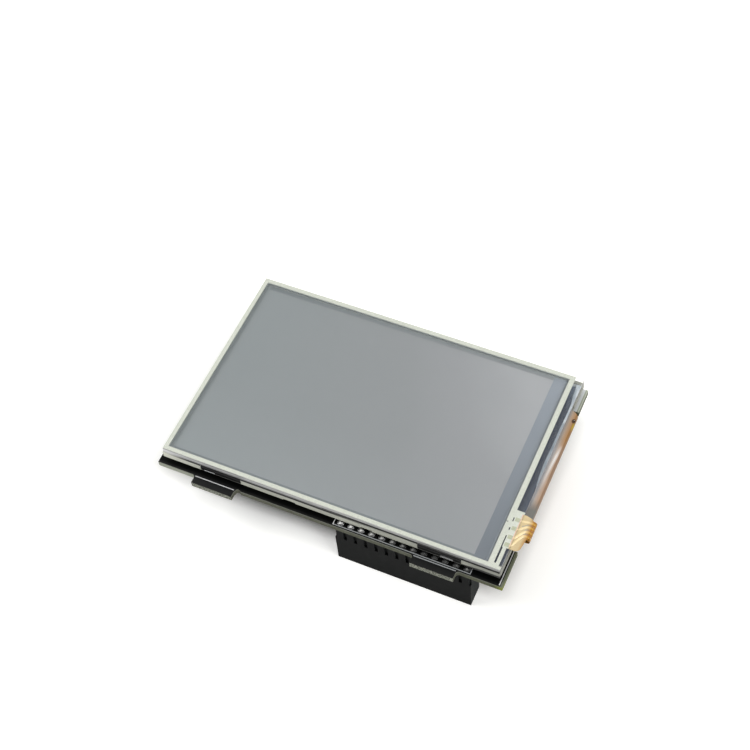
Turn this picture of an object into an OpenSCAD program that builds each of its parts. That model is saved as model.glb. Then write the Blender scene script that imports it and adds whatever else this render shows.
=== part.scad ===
// TFT display module: a 3.5 inch screen with a resistive touch panel, on a driver board
// that plugs on to a two-row pin header by a tall socket.
//
// Frame: the origin is the centre of the socket's mating face. +Z points out of the screen,
// +X towards the end where the flexes fold over, +Y away from the edge that carries the socket.
// Inside the modules, lengths are counted from the board's corner: X from its left edge,
// Y from the edge with the socket, Z from its top face.

/* [Board] */
// Length of the circuit board
board_length = 85.4; // [84.8:0.1:88]
// Width of the circuit board
board_width = 55.6; // [55.4:0.1:58]
// Thickness of the circuit board
board_thickness = 1.6; // [1.2:0.1:2]
// Width of the two snapped-off tabs on the socket's edge
tab_width = 10.3; // [9:0.1:11]
// How far the tabs stand out of the edge
tab_reach = 2.1; // [1.5:0.1:3.5]
// Left side of the first tab, from the board's left edge
first_tab_start = 9.8; // [8:0.1:12]
// Left side of the second tab, from the board's left edge
second_tab_start = 64.4; // [62:0.1:66]
// Radius in the corners where a tab meets the edge
tab_fillet = 0.8; // [0.5:0.1:1]
// Where the notch for the flexes starts, from the socket's edge
notch_start = 9.3; // [9:0.1:9.6]
// Where the notch for the flexes ends
notch_end = 48.9; // [48:0.1:50]
// Depth of the notch
notch_depth = 2.2; // [1.9:0.1:2.4]

/* [Socket] */
// Distance from pin to pin
pin_pitch = 2.54; // [2.54]
// Pins in each of the two rows
pin_columns = 13; // [13]
// Height of the socket under the board
socket_height = 13; // [11:0.5:15]
// Depth of the socket across its two rows
socket_depth = 5; // [4.9:0.1:5.1]
// Gap from the board's edge to the socket's outer face
socket_inset = 0.15; // [0:0.05:0.5]
// Distance from the last pin to the board's right edge
last_pin_to_edge = 8.7; // [8:0.1:9.5]
// Width of the wash slots at the board side of the socket
slot_width = 0.85; // [0.6:0.05:1]
// Height of the wash slots
slot_height = 3.7; // [1.5:0.1:4]
// Depth of the wash slots
slot_depth = 0.55; // [0.3:0.05:0.6]

/* [Panel] */
// Thickness of the foam tape between board and panel
foam_thickness = 1.5; // [1.3:0.1:2]
// Outside length of the panel's moulded frame
frame_length = 83.2; // [83:0.1:83.4]
// Outside width of the panel's moulded frame
frame_width = 53.8; // [53.6:0.1:54]
// Height of the panel's moulded frame
frame_height = 1.9; // [1.9]
// Length of the touch panel
touch_length = 82.85; // [82.7:0.05:83]
// Width of the touch panel
touch_width = 53.6; // [53.4:0.1:53.8]
// Thickness of the touch panel's glass
touch_glass_thickness = 0.95; // [0.7:0.05:1.1]
// Thickness of the touch panel's film
touch_film_thickness = 0.2; // [0.15:0.05:0.3]
// Length of the lit screen area
screen_length = 73.44; // [73.44]
// Width of the lit screen area
screen_width = 48.96; // [48.96]

/* [Flexes] */
// Thickness of the panel's flex
flex_thickness = 0.12; // [0.1:0.01:0.15]
// Width of the panel's flex
flex_width = 30; // [28:0.1:30]
// Thickness of the touch panel's tail
tail_thickness = 0.1; // [0.1]
// Width of the tail where it folds
tail_width = 4.8; // [4.5:0.1:5.2]
// Width of the tail at the glass
tail_root_width = 9.1; // [8.5:0.1:9.3]

/* [Hidden] */
$fn = 48;
joined = 0.01;    // overlap inside one piece, so that its parts fuse
through = 1;      // how far a cutter runs past the face it cuts

// places of the board and socket in the part's frame
half_row = (pin_columns - 1) * pin_pitch / 2;
board_left = half_row + last_pin_to_edge - board_length;
board_near = -socket_depth / 2 - socket_inset;
board_top = socket_height + board_thickness;
socket_length = pin_columns * pin_pitch;
notch_x = board_length - notch_depth;

// socket chambers and contacts
mouth_size = 1.7;
pin_hole_size = 0.8;
mouth_height = 0.6;
floor_height = 1.2;
chamber_x = 1;
chamber_y = 1.9;
seat_height = socket_height - 3.8;
leaf_thickness = 0.22;
leaf_width = 0.8;
tail_x = 0.6;
tail_y = 0.3;
tail_above_board = 0.9;
pin_drill = 1.02;
cone_radius = 0.85;
cone_height = 0.95;

// heights in the panel's stack, from the board's top face
frame_bottom = foam_thickness;
frame_top = frame_bottom + frame_height;
sheet_thickness = 0.1;
guide_thickness = 0.6;
prism_thickness = 0.15;
shelf_height = 1.1;
tape_thickness = 0.25;
polariser_thickness = 0.15;
glass_thickness = 0.45;
screen_gap = 0.05;
border_thickness = tail_thickness;
guide_bottom = frame_bottom + sheet_thickness;
guide_top = guide_bottom + guide_thickness;
prism_bottom = guide_top + sheet_thickness;
shelf_top = frame_bottom + shelf_height;
tft_bottom = shelf_top + tape_thickness;
tft_top = tft_bottom + glass_thickness;
colour_top = tft_top + glass_thickness;
screen_top = colour_top + polariser_thickness;
touch_bottom = screen_top + screen_gap;
border_bottom = touch_bottom + touch_glass_thickness;
film_bottom = border_bottom + border_thickness;

// outline of the panel, from the board's corner
frame_left = 1.2;
frame_near = 1.1;
frame_right = frame_left + frame_length;
frame_far = frame_near + frame_width;
wall = 0.8;
glass_gap = 0.1;
cell_left = frame_left + wall + glass_gap;
cell_near = frame_near + wall + glass_gap;
cell_far = frame_far - wall - glass_gap;
tft_right = 83.3;
colour_right = 81;
touch_left = 1.5;
touch_near = 1.2;
touch_right = touch_left + touch_length;
touch_far = touch_near + touch_width;
shelf = 0.8;
window_left = frame_left + wall + shelf;
window_near = frame_near + wall + shelf;
reflector_near = window_near - 0.4;
window_far = frame_far - wall - shelf;
guide_right = 79.4;
led_pocket_right = 81.2;
opening_margin = 0.5;
opening_left = 3.9 - opening_margin;
opening_length = screen_length + 2 * opening_margin;
opening_width = screen_width + 2 * opening_margin;
opening_near = (cell_near + cell_far - opening_width) / 2;
gap_starts = [11, 65];
gap_width = 10.4;
gap_floor = 0.15;
reflector_ear = [11.8, 14.6];
sheet_ear = [70.4, 73.4];
notch_starts = [32.1, 51.2];
frame_notch_width = 3;
frame_notch_height = 0.35;

// borders of the touch panel
border_left = 1;
border_near = 1.05;
border_far = 1.05;
strip_start = 81.2;
strip_end = 82.4;
terminal_near = 6.9;
terminal_far = 16.5;

// flexes
flex_near = 16.9;
flex_far = flex_near + flex_width;
flex_start = tft_right - 0.8;
flex_top = tft_top + flex_thickness;
flex_bottom = -board_thickness - flex_thickness;
flex_fold_radius = (flex_top - flex_bottom) / 2;
fold_centre_x = tft_right;
flex_landing_x = 75.5;
tail_near = 10.3;
tail_root_near = 6.8;
tail_root_end = 86.6;
tail_bend_x = 86.9;
tail_roll_radius = 0.8;
tail_drop_x = 84.5;
tail_bottom_radius = 1.3;
tail_landing_x = 76.5;
tail_start = 82.7;
bend_hole_radius = 0.3;
tail_hole_y = 10.75;
flex_hole_y = 45;

// parts on the back of the board
chip_length = 5;
chip_width = 4.4;
chip_height = 0.9;
chip_clearance = 0.1;
lead_pitch = 0.65;
lead_width = 0.24;
lead_thickness = 0.15;
lead_span = 6.4;
touch_controller_at = [66, 38];
shift_register_at = [[27, 17], [37.5, 17]];
counter_at = [48, 17];
inverter_at = [16.5, 17];
regulator_at = [13, 36];
resistor_at = [[58, 31], [58, 34], [58, 37], [58, 40], [21, 29], [24, 29], [34, 29], [37, 29], [66, 46], [69, 46]];
capacitor_at = [[22, 11.5], [32, 11.5], [42.6, 11.5], [53, 11.5], [61.5, 43.5], [7.5, 31], [18.5, 41], [71, 31]];

// ---- helpers ----

// puts a shape that is drawn from the board's corner into the part's frame
module on_board() translate([board_left, board_near, board_top]) children();

// a block between two corners
module block(low, high) translate(low) cube(high - low);

// a flat ring between two rectangles
module ring(low, high, side, bottom, top) {
    translate([0, 0, bottom])
        linear_extrude(top - bottom)
            difference() {
                translate(low) square(high - low);
                translate(low + [side, side]) square(high - low - 2 * [side, side]);
            }
}

// children at each pin of one row; row 0 is the outer row
module at_row_pins(row) {
    for (column = [0:pin_columns - 1])
        translate([(column - (pin_columns - 1) / 2) * pin_pitch, (row - 0.5) * pin_pitch, 0])
            children();
}

// a profile drawn in X and Z, as wide as the stretch of Y from near to far
module swept_along_y(near, far) {
    translate([0, far, 0])
        rotate([90, 0, 0])
            linear_extrude(far - near) children();
}

// a quarter of a flat ring, opened towards the quadrant that starts at the angle
module quarter_ring(radius, thickness, start) {
    rotate(start)
        intersection() {
            difference() {
                circle(radius);
                circle(radius - thickness);
            }
            square(radius);
        }
}

// ---- circuit board ----

// one snapped-off tab with its filleted roots
module tab_outline(start) {
    translate([start, -tab_reach]) square([tab_width, tab_reach + joined]);
    for (side = [0, 1])
        translate([start + side * tab_width, 0])
            mirror([1 - side, 0])
                difference() {
                    translate([-joined, -tab_fillet]) square([tab_fillet + joined, tab_fillet + joined]);
                    translate([tab_fillet, -tab_fillet]) circle(tab_fillet);
                }
}

module board_outline() {
    difference() {
        union() {
            square([board_length, board_width]);
            tab_outline(first_tab_start);
            tab_outline(second_tab_start);
        }
        translate([notch_x, notch_start])
            square([notch_depth + through, notch_end - notch_start]);
        translate([first_tab_start + tab_width + tab_fillet, -tab_fillet * 0.4]) circle(tab_fillet * 0.8);
    }
}

module circuit_board() {
    color([0.09, 0.1, 0.1])
        difference() {
            on_board()
                translate([0, 0, -board_thickness]) linear_extrude(board_thickness) board_outline();
            for (row = [0, 1])
                at_row_pins(row)
                    translate([0, 0, socket_height - through])
                        cylinder(d = pin_drill, h = board_thickness + 2 * through, $fn = 24);
        }
}

// ---- socket ----

// trapezoids that narrow from the mouth to the pin hole, one for each place
module mouth_profile(places) {
    for (place = places)
        translate([place, 0])
            polygon([[-mouth_size / 2, -joined], [mouth_size / 2, -joined],
                [pin_hole_size / 2, mouth_height], [-pin_hole_size / 2, mouth_height]]);
}

// the funnel mouths of all pins: where the two families of wedges cross
module pin_mouths() {
    columns = [for (column = [0:pin_columns - 1]) (column - (pin_columns - 1) / 2) * pin_pitch];
    rows = [-pin_pitch / 2, pin_pitch / 2];
    intersection() {
        swept_along_y(-socket_depth, socket_depth) mouth_profile(columns);
        rotate([0, 0, 90]) swept_along_y(-socket_length, socket_length) mouth_profile(rows);
    }
}

// square holes of one size at every pin
module pin_shafts(size, bottom, top) {
    translate([0, 0, bottom])
        linear_extrude(top - bottom)
            for (row = [0, 1]) at_row_pins(row) square(size, center = true);
}

// wash slots midway between the pins, and half slots at the ends
module wash_slots() {
    for (gap = [0:pin_columns], side = [-1, 1])
        translate([(gap - pin_columns / 2) * pin_pitch - slot_width / 2,
            side * socket_depth / 2 - slot_depth, socket_height - slot_height])
            cube([slot_width, 2 * slot_depth, slot_height + through]);
}

module socket_housing() {
    color([0.13, 0.13, 0.14])
        difference() {
            translate([-socket_length / 2, -socket_depth / 2, 0])
                cube([socket_length, socket_depth, socket_height]);
            pin_mouths();
            pin_shafts([pin_hole_size, pin_hole_size], 0, floor_height + joined);
            pin_shafts([chamber_x, chamber_y], floor_height, socket_height + through);
            wash_slots();
        }
}

// one spring leaf seen along X: down the chamber wall, in to pinch the pin, then out again
module leaf_profile() {
    wall_y = chamber_y / 2 - 0.05;
    pinch_y = 0.26 + leaf_thickness;
    pinch_height = floor_height + 2.1;
    tip_y = 0.5 + leaf_thickness;
    knee_height = seat_height - 2.6;
    polygon([[wall_y, seat_height], [wall_y, knee_height], [pinch_y, pinch_height],
        [tip_y, floor_height + 0.3], [tip_y - leaf_thickness, floor_height + 0.3],
        [pinch_y - leaf_thickness, pinch_height], [wall_y - leaf_thickness, knee_height],
        [wall_y - leaf_thickness, seat_height]]);
}

// a bent contact: two leaves, the bar that grips the chamber, and the tail to the board
module contact() {
    rotate([90, 0, 90])
        translate([0, 0, -leaf_width / 2])
            linear_extrude(leaf_width) {
                leaf_profile();
                mirror([1, 0]) leaf_profile();
            }
    translate([-chamber_x / 2, -chamber_y / 2 + 0.05, seat_height - joined])
        cube([chamber_x, chamber_y - 0.1, 0.5]);
    translate([-tail_x / 2, -tail_y / 2, seat_height])
        cube([tail_x, tail_y, board_top + tail_above_board - seat_height]);
}

module socket_contacts_near() {
    color([0.83, 0.72, 0.42]) at_row_pins(0) contact();
}

module socket_contacts_far() {
    color([0.83, 0.72, 0.42]) at_row_pins(1) contact();
}

// a solder cone that hollows towards its tip, round the tail of a contact
module solder_cone() {
    tip_radius = 0.36;
    bow = 1.6;
    bow_angle = atan2(cone_height, cone_radius - tip_radius);
    chord = norm([cone_height, cone_radius - tip_radius]);
    bow_out = sqrt(bow * bow - chord * chord / 4);
    centre = [(cone_radius + tip_radius) / 2 + bow_out * sin(bow_angle),
        cone_height / 2 + bow_out * cos(bow_angle)];
    difference() {
        rotate_extrude($fn = 24)
            difference() {
                polygon([[0, 0], [cone_radius, 0], [tip_radius, cone_height], [0, cone_height]]);
                translate(centre) circle(bow, $fn = 64);
            }
        translate([-tail_x / 2, -tail_y / 2, -through])
            cube([tail_x, tail_y, tail_above_board + through]);
    }
}

module solder_row(row) {
    color([0.78, 0.78, 0.79]) at_row_pins(row) translate([0, 0, board_top]) solder_cone();
}

module solder_joints_near() solder_row(0);
module solder_joints_far() solder_row(1);

// ---- backlight ----

module foam_tape() {
    strip = 5;
    strip_gap = 1;
    near = 6.4;
    far = frame_far - 0.9;
    left = frame_left + 0.8;
    right = notch_x - 0.4;
    color([0.08, 0.08, 0.08])
        on_board() {
            block([left, near, 0], [left + strip, far, foam_thickness]);
            block([right - strip, near, 0], [right, far, foam_thickness]);
            block([left + strip + strip_gap, far - strip, 0], [right - strip - strip_gap, far, foam_thickness]);
            block([left + strip + strip_gap, near, 0], [right - strip - strip_gap, near + strip, foam_thickness]);
        }
}

// gaps through the near wall and its shelf for the ears of the sheets and the flaps of the tape
module wall_gaps() {
    for (start = gap_starts)
        block([start, frame_near - through, frame_bottom + gap_floor],
            [start + gap_width, window_near + joined, frame_top + through]);
    // way out for the reflector's ear, under the bar that is left, and open in front of it
    block([reflector_ear[0] - 0.1, frame_near - through, frame_bottom - through],
        [reflector_ear[1] + 0.1, reflector_near + joined, guide_bottom]);
    block([reflector_ear[0] - 0.1, frame_near - through, guide_bottom - joined],
        [reflector_ear[1] + 0.1, frame_near + 0.35, frame_bottom + gap_floor + joined]);
}

// shallow notches along the foot of the near wall
module foot_notches() {
    for (start = notch_starts)
        block([start, frame_near - through, frame_bottom - through],
            [start + frame_notch_width, frame_near + 0.4, frame_bottom + frame_notch_height]);
}

module backlight_frame() {
    color([0.8, 0.81, 0.74])
        on_board()
            difference() {
                block([frame_left, frame_near, frame_bottom], [frame_right, frame_far, frame_top]);
                // window for the light guide and its sheets
                block([window_left, window_near, frame_bottom - through],
                    [led_pocket_right, window_far, frame_top + through]);
                // recess for the glass, open at the flex end
                block([frame_left + wall, frame_near + wall, shelf_top],
                    [tft_right + glass_gap, frame_far - wall, frame_top + through]);
                // gap in the end wall where the flex leaves
                block([tft_right, flex_near - 1, tft_bottom],
                    [frame_right + through, flex_far + 1, frame_top + through]);
                // rebate for the reflector under the window
                block([window_left - 0.4, reflector_near, frame_bottom - through],
                    [led_pocket_right + 0.4, window_far + 0.4, guide_bottom]);
                wall_gaps();
                foot_notches();
            }
}

module reflector_sheet() {
    color([0.93, 0.94, 0.95])
        on_board() {
            block([window_left - 0.4, reflector_near, frame_bottom],
                [led_pocket_right + 0.4, window_far + 0.4, guide_bottom]);
            block([reflector_ear[0], frame_near + 0.05, frame_bottom],
                [reflector_ear[1], reflector_near + joined, guide_bottom]);
        }
}

module light_guide() {
    color([0.85, 0.9, 0.92, 0.6])
        on_board()
            block([window_left + 0.1, window_near + 0.1, guide_bottom],
                [guide_right, window_far - 0.1, guide_top]);
}

// a sheet over the light guide, with an ear through the second gap of the near wall
module backlight_sheet(bottom, thickness) {
    on_board() {
        block([window_left + 0.1, window_near + 0.1, bottom],
            [guide_right - 0.2, window_far - 0.1, bottom + thickness]);
        block([sheet_ear[0], frame_near + 0.1, bottom],
            [sheet_ear[1], window_near + 0.1 + joined, bottom + thickness]);
    }
}

module diffuser_sheet() {
    color([0.9, 0.9, 0.88]) backlight_sheet(guide_top, sheet_thickness);
}

module prism_sheet_lower() {
    color([0.86, 0.88, 0.9]) backlight_sheet(prism_bottom, prism_thickness);
}

module prism_sheet_upper() {
    color([0.86, 0.88, 0.9]) backlight_sheet(prism_bottom + prism_thickness, prism_thickness);
}

module backlight_leds() {
    count = 6;
    led_length = 3.8;
    span = window_far - window_near;
    color([0.95, 0.93, 0.7])
        on_board()
            for (led = [0:count - 1])
                translate([guide_right, window_near + span * (led + 0.5) / count - led_length / 2, guide_bottom])
                    cube([1, led_length, guide_thickness]);
}

module led_strip() {
    color([0.85, 0.5, 0.15])
        on_board()
            block([guide_right - 0.1, window_near + 0.3, guide_top],
                [led_pocket_right - 0.1, window_far - 0.3, guide_top + sheet_thickness]);
}

// ---- cell ----

// black tape on the frame's shelf, with flaps that hang in the gaps of the near wall
module light_shield_tape() {
    flap_near = frame_near + 0.03;
    flap_bottom = frame_bottom + gap_floor + 0.05;
    first = [gap_starts[0] + 0.05, gap_starts[0] + gap_width - 0.05];
    second = [gap_starts[1] + 0.05, gap_starts[1] + gap_width - 0.05];
    // each flap: its left and right side, and its lower edge, which is higher over the reflector's ear
    flaps = [[first[0], reflector_ear[0] - 0.05, flap_bottom],
        [reflector_ear[0] - 0.05, reflector_ear[1] + 0.05, flap_bottom + 0.25],
        [reflector_ear[1] + 0.05, first[1], flap_bottom],
        [second[0], sheet_ear[0] - 0.1, flap_bottom], [sheet_ear[1] + 0.1, second[1], flap_bottom]];
    color([0.05, 0.05, 0.06])
        on_board() {
            difference() {
                block([frame_left + wall + 0.05, frame_near + wall + 0.05, shelf_top],
                    [tft_right, frame_far - wall - 0.05, tft_bottom]);
                block([opening_left, opening_near, shelf_top - through],
                    [opening_left + opening_length, opening_near + opening_width, tft_bottom + through]);
            }
            for (gap = [first, second])
                block([gap[0], flap_near, tft_bottom - 0.1], [gap[1], frame_near + wall + 0.1, tft_bottom]);
            for (flap = flaps)
                block([flap[0], flap_near, flap[2]], [flap[1], flap_near + 0.1, tft_bottom]);
        }
}

module lower_polariser() {
    color([0.25, 0.27, 0.3])
        on_board()
            block([opening_left + 0.1, opening_near + 0.1, tft_bottom - polariser_thickness],
                [opening_left + opening_length - 0.1, opening_near + opening_width - 0.1, tft_bottom]);
}

module tft_glass() {
    color([0.2, 0.26, 0.34])
        on_board() block([cell_left, cell_near, tft_bottom], [tft_right, cell_far, tft_top]);
}

module colour_filter_glass() {
    color([0.45, 0.48, 0.52])
        on_board() block([cell_left, cell_near, tft_top], [colour_right, cell_far, colour_top]);
}

module upper_polariser() {
    color([0.62, 0.64, 0.65])
        on_board()
            block([cell_left + 0.1, cell_near + 0.1, colour_top],
                [colour_right - 0.2, cell_far - 0.1, screen_top]);
}

module driver_chip() {
    chip_span = 21;
    middle = (cell_near + cell_far) / 2;
    color([0.16, 0.17, 0.2])
        on_board()
            block([colour_right + 0.35, middle - chip_span / 2, tft_top],
                [colour_right + 1.35, middle + chip_span / 2, tft_top + 0.3]);
}

// tape over the driver chip: a shallow channel turned upside down
module ledge_tape() {
    left = colour_right + 0.1;
    right = tft_right + 0.9;
    top = tft_top + 0.36;
    color([0.2, 0.27, 0.35])
        on_board()
            difference() {
                block([left, cell_near + 1, tft_top], [right, cell_far - 1, top]);
                block([left + 0.1, cell_near - through, tft_top - through],
                    [right + through, cell_far + through, tft_top + 0.3]);
            }
}

// a cutter for a hole in a bend round the Y axis, square to the bend at the angle above X
module bend_hole(centre, radius, angle) {
    translate(centre)
        rotate([0, 90 - angle, 0])
            translate([0, 0, radius]) cylinder(r = bend_hole_radius, h = radius, center = true, $fn = 24);
}

// ---- touch panel ----

// black foam adhesive on the frame's left, near and far walls
module touch_adhesive() {
    low = [touch_left - 0.1, frame_near + 0.05];
    far = frame_far - 0.05;
    right = 82;
    side = wall - 0.15;
    color([0.12, 0.12, 0.13])
        on_board()
            difference() {
                block([low[0], low[1], frame_top], [right, far, touch_bottom]);
                block([frame_left + wall - 0.1, low[1] + side, frame_top - through],
                    [right + through, far - side, touch_bottom + through]);
            }
}

module touch_glass() {
    color([0.75, 0.78, 0.82, 0.45])
        on_board()
            block([touch_left, touch_near, touch_bottom], [touch_right, touch_far, border_bottom]);
}

// the printed border: a ring, the terminal area, a second strip beside it, and their slits
module touch_border_outline() {
    slit = 0.45;
    corner_strip_width = 1.3;
    corner_strip_depth = 0.9;
    inner_low = [touch_left + border_left, touch_near + border_near];
    inner_high = [strip_start, touch_far - border_far];
    difference() {
        union() {
            difference() {
                translate([touch_left, touch_near]) square([strip_end - touch_left, touch_width]);
                translate(inner_low) square(inner_high - inner_low);
            }
            translate([strip_end - joined, terminal_near])
                square([touch_right - strip_end + joined, terminal_far - terminal_near]);
            translate([strip_end - joined, touch_near])
                square([corner_strip_width, terminal_near - touch_near + joined]);
            translate([strip_end - joined, touch_near])
                square([touch_right - strip_end + joined, corner_strip_depth]);
        }
        // slits between the strip and the terminal area
        translate([strip_end, 2.6]) square([slit, 7.2]);
        translate([strip_end, 11.2]) square([slit, 0.7]);
        translate([strip_end, 13.5]) square([slit, 1]);
        translate([strip_start - through, 13]) square([through + 0.45, 0.2]);
        // seat of the tail
        translate([tail_start, tail_root_near]) square([touch_right - tail_start + through, tail_root_width]);
    }
}

module touch_border() {
    color([0.84, 0.85, 0.79])
        on_board()
            translate([0, 0, border_bottom]) linear_extrude(border_thickness) touch_border_outline();
}

module touch_film() {
    color([0.72, 0.74, 0.75, 0.5])
        on_board()
            block([touch_left, touch_near, film_bottom],
                [touch_right, touch_far, film_bottom + touch_film_thickness]);
}

// the tail seen from above, up to its roll: wide at the glass, with a rounded near corner
module tail_root_outline() {
    corner = 1.3;
    root_far = tail_root_near + tail_root_width;
    tail_far = tail_near + tail_width;
    translate([tail_root_end - corner, tail_root_near + corner]) circle(corner);
    polygon([[tail_start, tail_root_near], [tail_root_end - corner, tail_root_near],
        [tail_root_end - corner, tail_root_near + corner], [tail_root_end, tail_root_near + corner],
        [tail_bend_x, tail_near], [tail_bend_x, tail_far], [tail_bend_x - 0.7, tail_far + 0.5],
        [tail_bend_x - 1.8, root_far], [tail_start, root_far]]);
}

// the tail seen along Y: rolled back under itself, down past the edge, and under the board
module tail_fold_profile() {
    top = border_bottom + tail_thickness;
    bottom = -board_thickness - tail_thickness;
    roll_z = top - tail_roll_radius;
    back_top = top - 2 * tail_roll_radius + tail_thickness;
    turn_x = tail_drop_x + tail_roll_radius;
    turn_z = back_top - tail_roll_radius;
    bottom_x = tail_drop_x + tail_thickness - tail_bottom_radius;
    bottom_z = bottom + tail_bottom_radius;
    translate([tail_bend_x - 0.2, top - tail_thickness]) square([0.2 + joined, tail_thickness]);
    translate([tail_bend_x, roll_z]) {
        quarter_ring(tail_roll_radius, tail_thickness, 0);
        quarter_ring(tail_roll_radius, tail_thickness, -90);
    }
    translate([turn_x - joined, back_top - tail_thickness])
        square([tail_bend_x - turn_x + 2 * joined, tail_thickness]);
    translate([turn_x, turn_z]) quarter_ring(tail_roll_radius, tail_thickness, 90);
    translate([tail_drop_x, bottom_z - joined]) square([tail_thickness, turn_z - bottom_z + 2 * joined]);
    translate([bottom_x, bottom_z]) quarter_ring(tail_bottom_radius, tail_thickness, -90);
    translate([tail_landing_x, bottom]) square([bottom_x - tail_landing_x + joined, tail_thickness]);
}

module touch_tail() {
    color([0.9, 0.66, 0.25])
        on_board()
            difference() {
                union() {
                    translate([0, 0, border_bottom]) linear_extrude(tail_thickness) tail_root_outline();
                    swept_along_y(tail_near, tail_near + tail_width) tail_fold_profile();
                }
                bend_hole([tail_bend_x, tail_hole_y, film_bottom - tail_roll_radius], tail_roll_radius, 55);
            }
}

// ---- panel flex ----

// the flex seen along Y: on the glass ledge, round the board's edge, and flat on its back
module flex_profile() {
    fold_centre_z = flex_top - flex_fold_radius;
    translate([flex_start, flex_top - flex_thickness])
        square([fold_centre_x - flex_start + joined, flex_thickness]);
    translate([fold_centre_x, fold_centre_z]) {
        quarter_ring(flex_fold_radius, flex_thickness, 0);
        quarter_ring(flex_fold_radius, flex_thickness, -90);
    }
    translate([flex_landing_x, flex_bottom])
        square([fold_centre_x - flex_landing_x + joined, flex_thickness]);
}

module panel_flex() {
    taper = 4;
    color([0.85, 0.45, 0.16])
        on_board()
            difference() {
                swept_along_y(flex_near, flex_far) flex_profile();
                bend_hole([fold_centre_x, flex_hole_y, flex_top - flex_fold_radius], flex_fold_radius, 25);
                // the flex narrows where it lies on the board's back
                for (end = [0, 1])
                    translate([0, end == 0 ? flex_near : flex_far, -board_thickness - through])
                        mirror([0, end, 0])
                            linear_extrude(2 * through)
                                polygon([[flex_landing_x - through, -through], [fold_centre_x - 1, -through],
                                    [fold_centre_x - 1, 0], [fold_centre_x - 1 - taper, taper],
                                    [flex_landing_x - through, taper]]);
            }
}

// ---- parts on the back ----

// places a part that is drawn lying on the board's top face under the board instead
module on_back(place, turn = 0) {
    on_board()
        translate([place[0], place[1], -board_thickness]) mirror([0, 0, 1]) rotate(turn) children();
}

// a moulded body with a raised middle seam: two tapered halves from four side profiles
module chip_body(length, width) {
    draft = 0.12;
    middle = chip_clearance + chip_height / 2;
    top = chip_clearance + chip_height;
    intersection() {
        swept_along_y(-width / 2, width / 2)
            polygon([[-length / 2 + draft, chip_clearance], [length / 2 - draft, chip_clearance],
                [length / 2, middle], [length / 2 - draft, top], [-length / 2 + draft, top], [-length / 2, middle]]);
        rotate([0, 0, 90])
            swept_along_y(-length / 2, length / 2)
                polygon([[-width / 2 + draft, chip_clearance], [width / 2 - draft, chip_clearance],
                    [width / 2, middle], [width / 2 - draft, top], [-width / 2 + draft, top], [-width / 2, middle]]);
    }
}

// a gull-wing lead along +Y, from the body's side to its foot
module gull_lead(body_side, span) {
    middle = chip_clearance + chip_height / 2;
    foot = 0.55;
    reach = span / 2;
    half = lead_thickness / 2;
    knee = body_side + 0.3;
    translate([-lead_width / 2, 0, 0])
        rotate([90, 0, 90])
            linear_extrude(lead_width)
                polygon([[body_side, middle - half], [knee, middle - half], [reach - foot, 0],
                    [reach, 0], [reach, lead_thickness], [reach - foot + 0.08, lead_thickness],
                    [knee + 0.08, middle + half], [body_side, middle + half]]);
}

// both rows of leads of one chip
module lead_rows(count) {
    for (lead = [0:count - 1], side = [0, 1])
        mirror([0, side, 0])
            translate([(lead - (count - 1) / 2) * lead_pitch, 0, 0])
                gull_lead(chip_width / 2, lead_span);
}

module touch_controller() {
    color([0.12, 0.12, 0.13]) on_back(touch_controller_at, 90) chip_body(chip_length, chip_width);
}

module shift_registers() {
    color([0.12, 0.12, 0.13])
        for (place = shift_register_at) on_back(place) chip_body(chip_length, chip_width);
}

module counter_chip() {
    color([0.12, 0.12, 0.13]) on_back(counter_at) chip_body(chip_length, chip_width);
}

module inverter_chip() {
    color([0.12, 0.12, 0.13]) on_back(inverter_at) chip_body(chip_length, chip_width);
}

module chip_leads() {
    color([0.75, 0.75, 0.76]) {
        on_back(touch_controller_at, 90) lead_rows(8);
        for (place = shift_register_at) on_back(place) lead_rows(8);
        on_back(counter_at) lead_rows(8);
        on_back(inverter_at) lead_rows(7);
    }
}

module regulator() {
    color([0.12, 0.12, 0.13]) on_back(regulator_at) chip_body(2.9, 1.6);
}

module regulator_leads() {
    color([0.75, 0.75, 0.76])
        on_back(regulator_at) {
            for (x = [-0.95, 0.95]) translate([x, 0, 0]) gull_lead(0.8, 2.8);
            mirror([0, 1, 0]) gull_lead(0.8, 2.8);
        }
}

// a chip part: a body with a wrapped metal cap on each end
module chip_part(length, width, height) {
    cap = 0.3;
    skin = 0.02;
    translate([-length / 2 + cap, -width / 2 + skin, skin])
        cube([length - 2 * cap, width - 2 * skin, height - 2 * skin]);
    for (side = [-1, 1])
        translate([side * (length / 2 - cap / 2), 0, height / 2])
            cube([cap + 2 * joined, width, height], center = true);
}

module resistors() {
    color([0.2, 0.2, 0.21])
        for (place = resistor_at) on_back(place) chip_part(1.6, 0.8, 0.45);
}

module capacitors() {
    color([0.62, 0.5, 0.38])
        for (place = capacitor_at) on_back(place) chip_part(1.6, 0.8, 0.8);
}

circuit_board();
socket_housing();
socket_contacts_near();
socket_contacts_far();
solder_joints_near();
solder_joints_far();
foam_tape();
backlight_frame();
reflector_sheet();
light_guide();
diffuser_sheet();
prism_sheet_lower();
prism_sheet_upper();
backlight_leds();
led_strip();
light_shield_tape();
lower_polariser();
tft_glass();
colour_filter_glass();
upper_polariser();
driver_chip();
ledge_tape();
touch_adhesive();
touch_glass();
touch_border();
touch_film();
touch_tail();
panel_flex();
touch_controller();
shift_registers();
counter_chip();
inverter_chip();
chip_leads();
regulator();
regulator_leads();
resistors();
capacitors();
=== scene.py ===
# %% [markdown]
# # Dressing a touch display module
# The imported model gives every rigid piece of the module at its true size: board, socket, backlight,
# glass, touch panel and the two flexes. This lesson keeps those solids where they are, gives each
# one a finish made of nodes, and adds the thin things a solid model leaves out: print, traces,
# solder fillets, pads and glue.

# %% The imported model
import math

import bpy
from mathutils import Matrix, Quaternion, Vector


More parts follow.
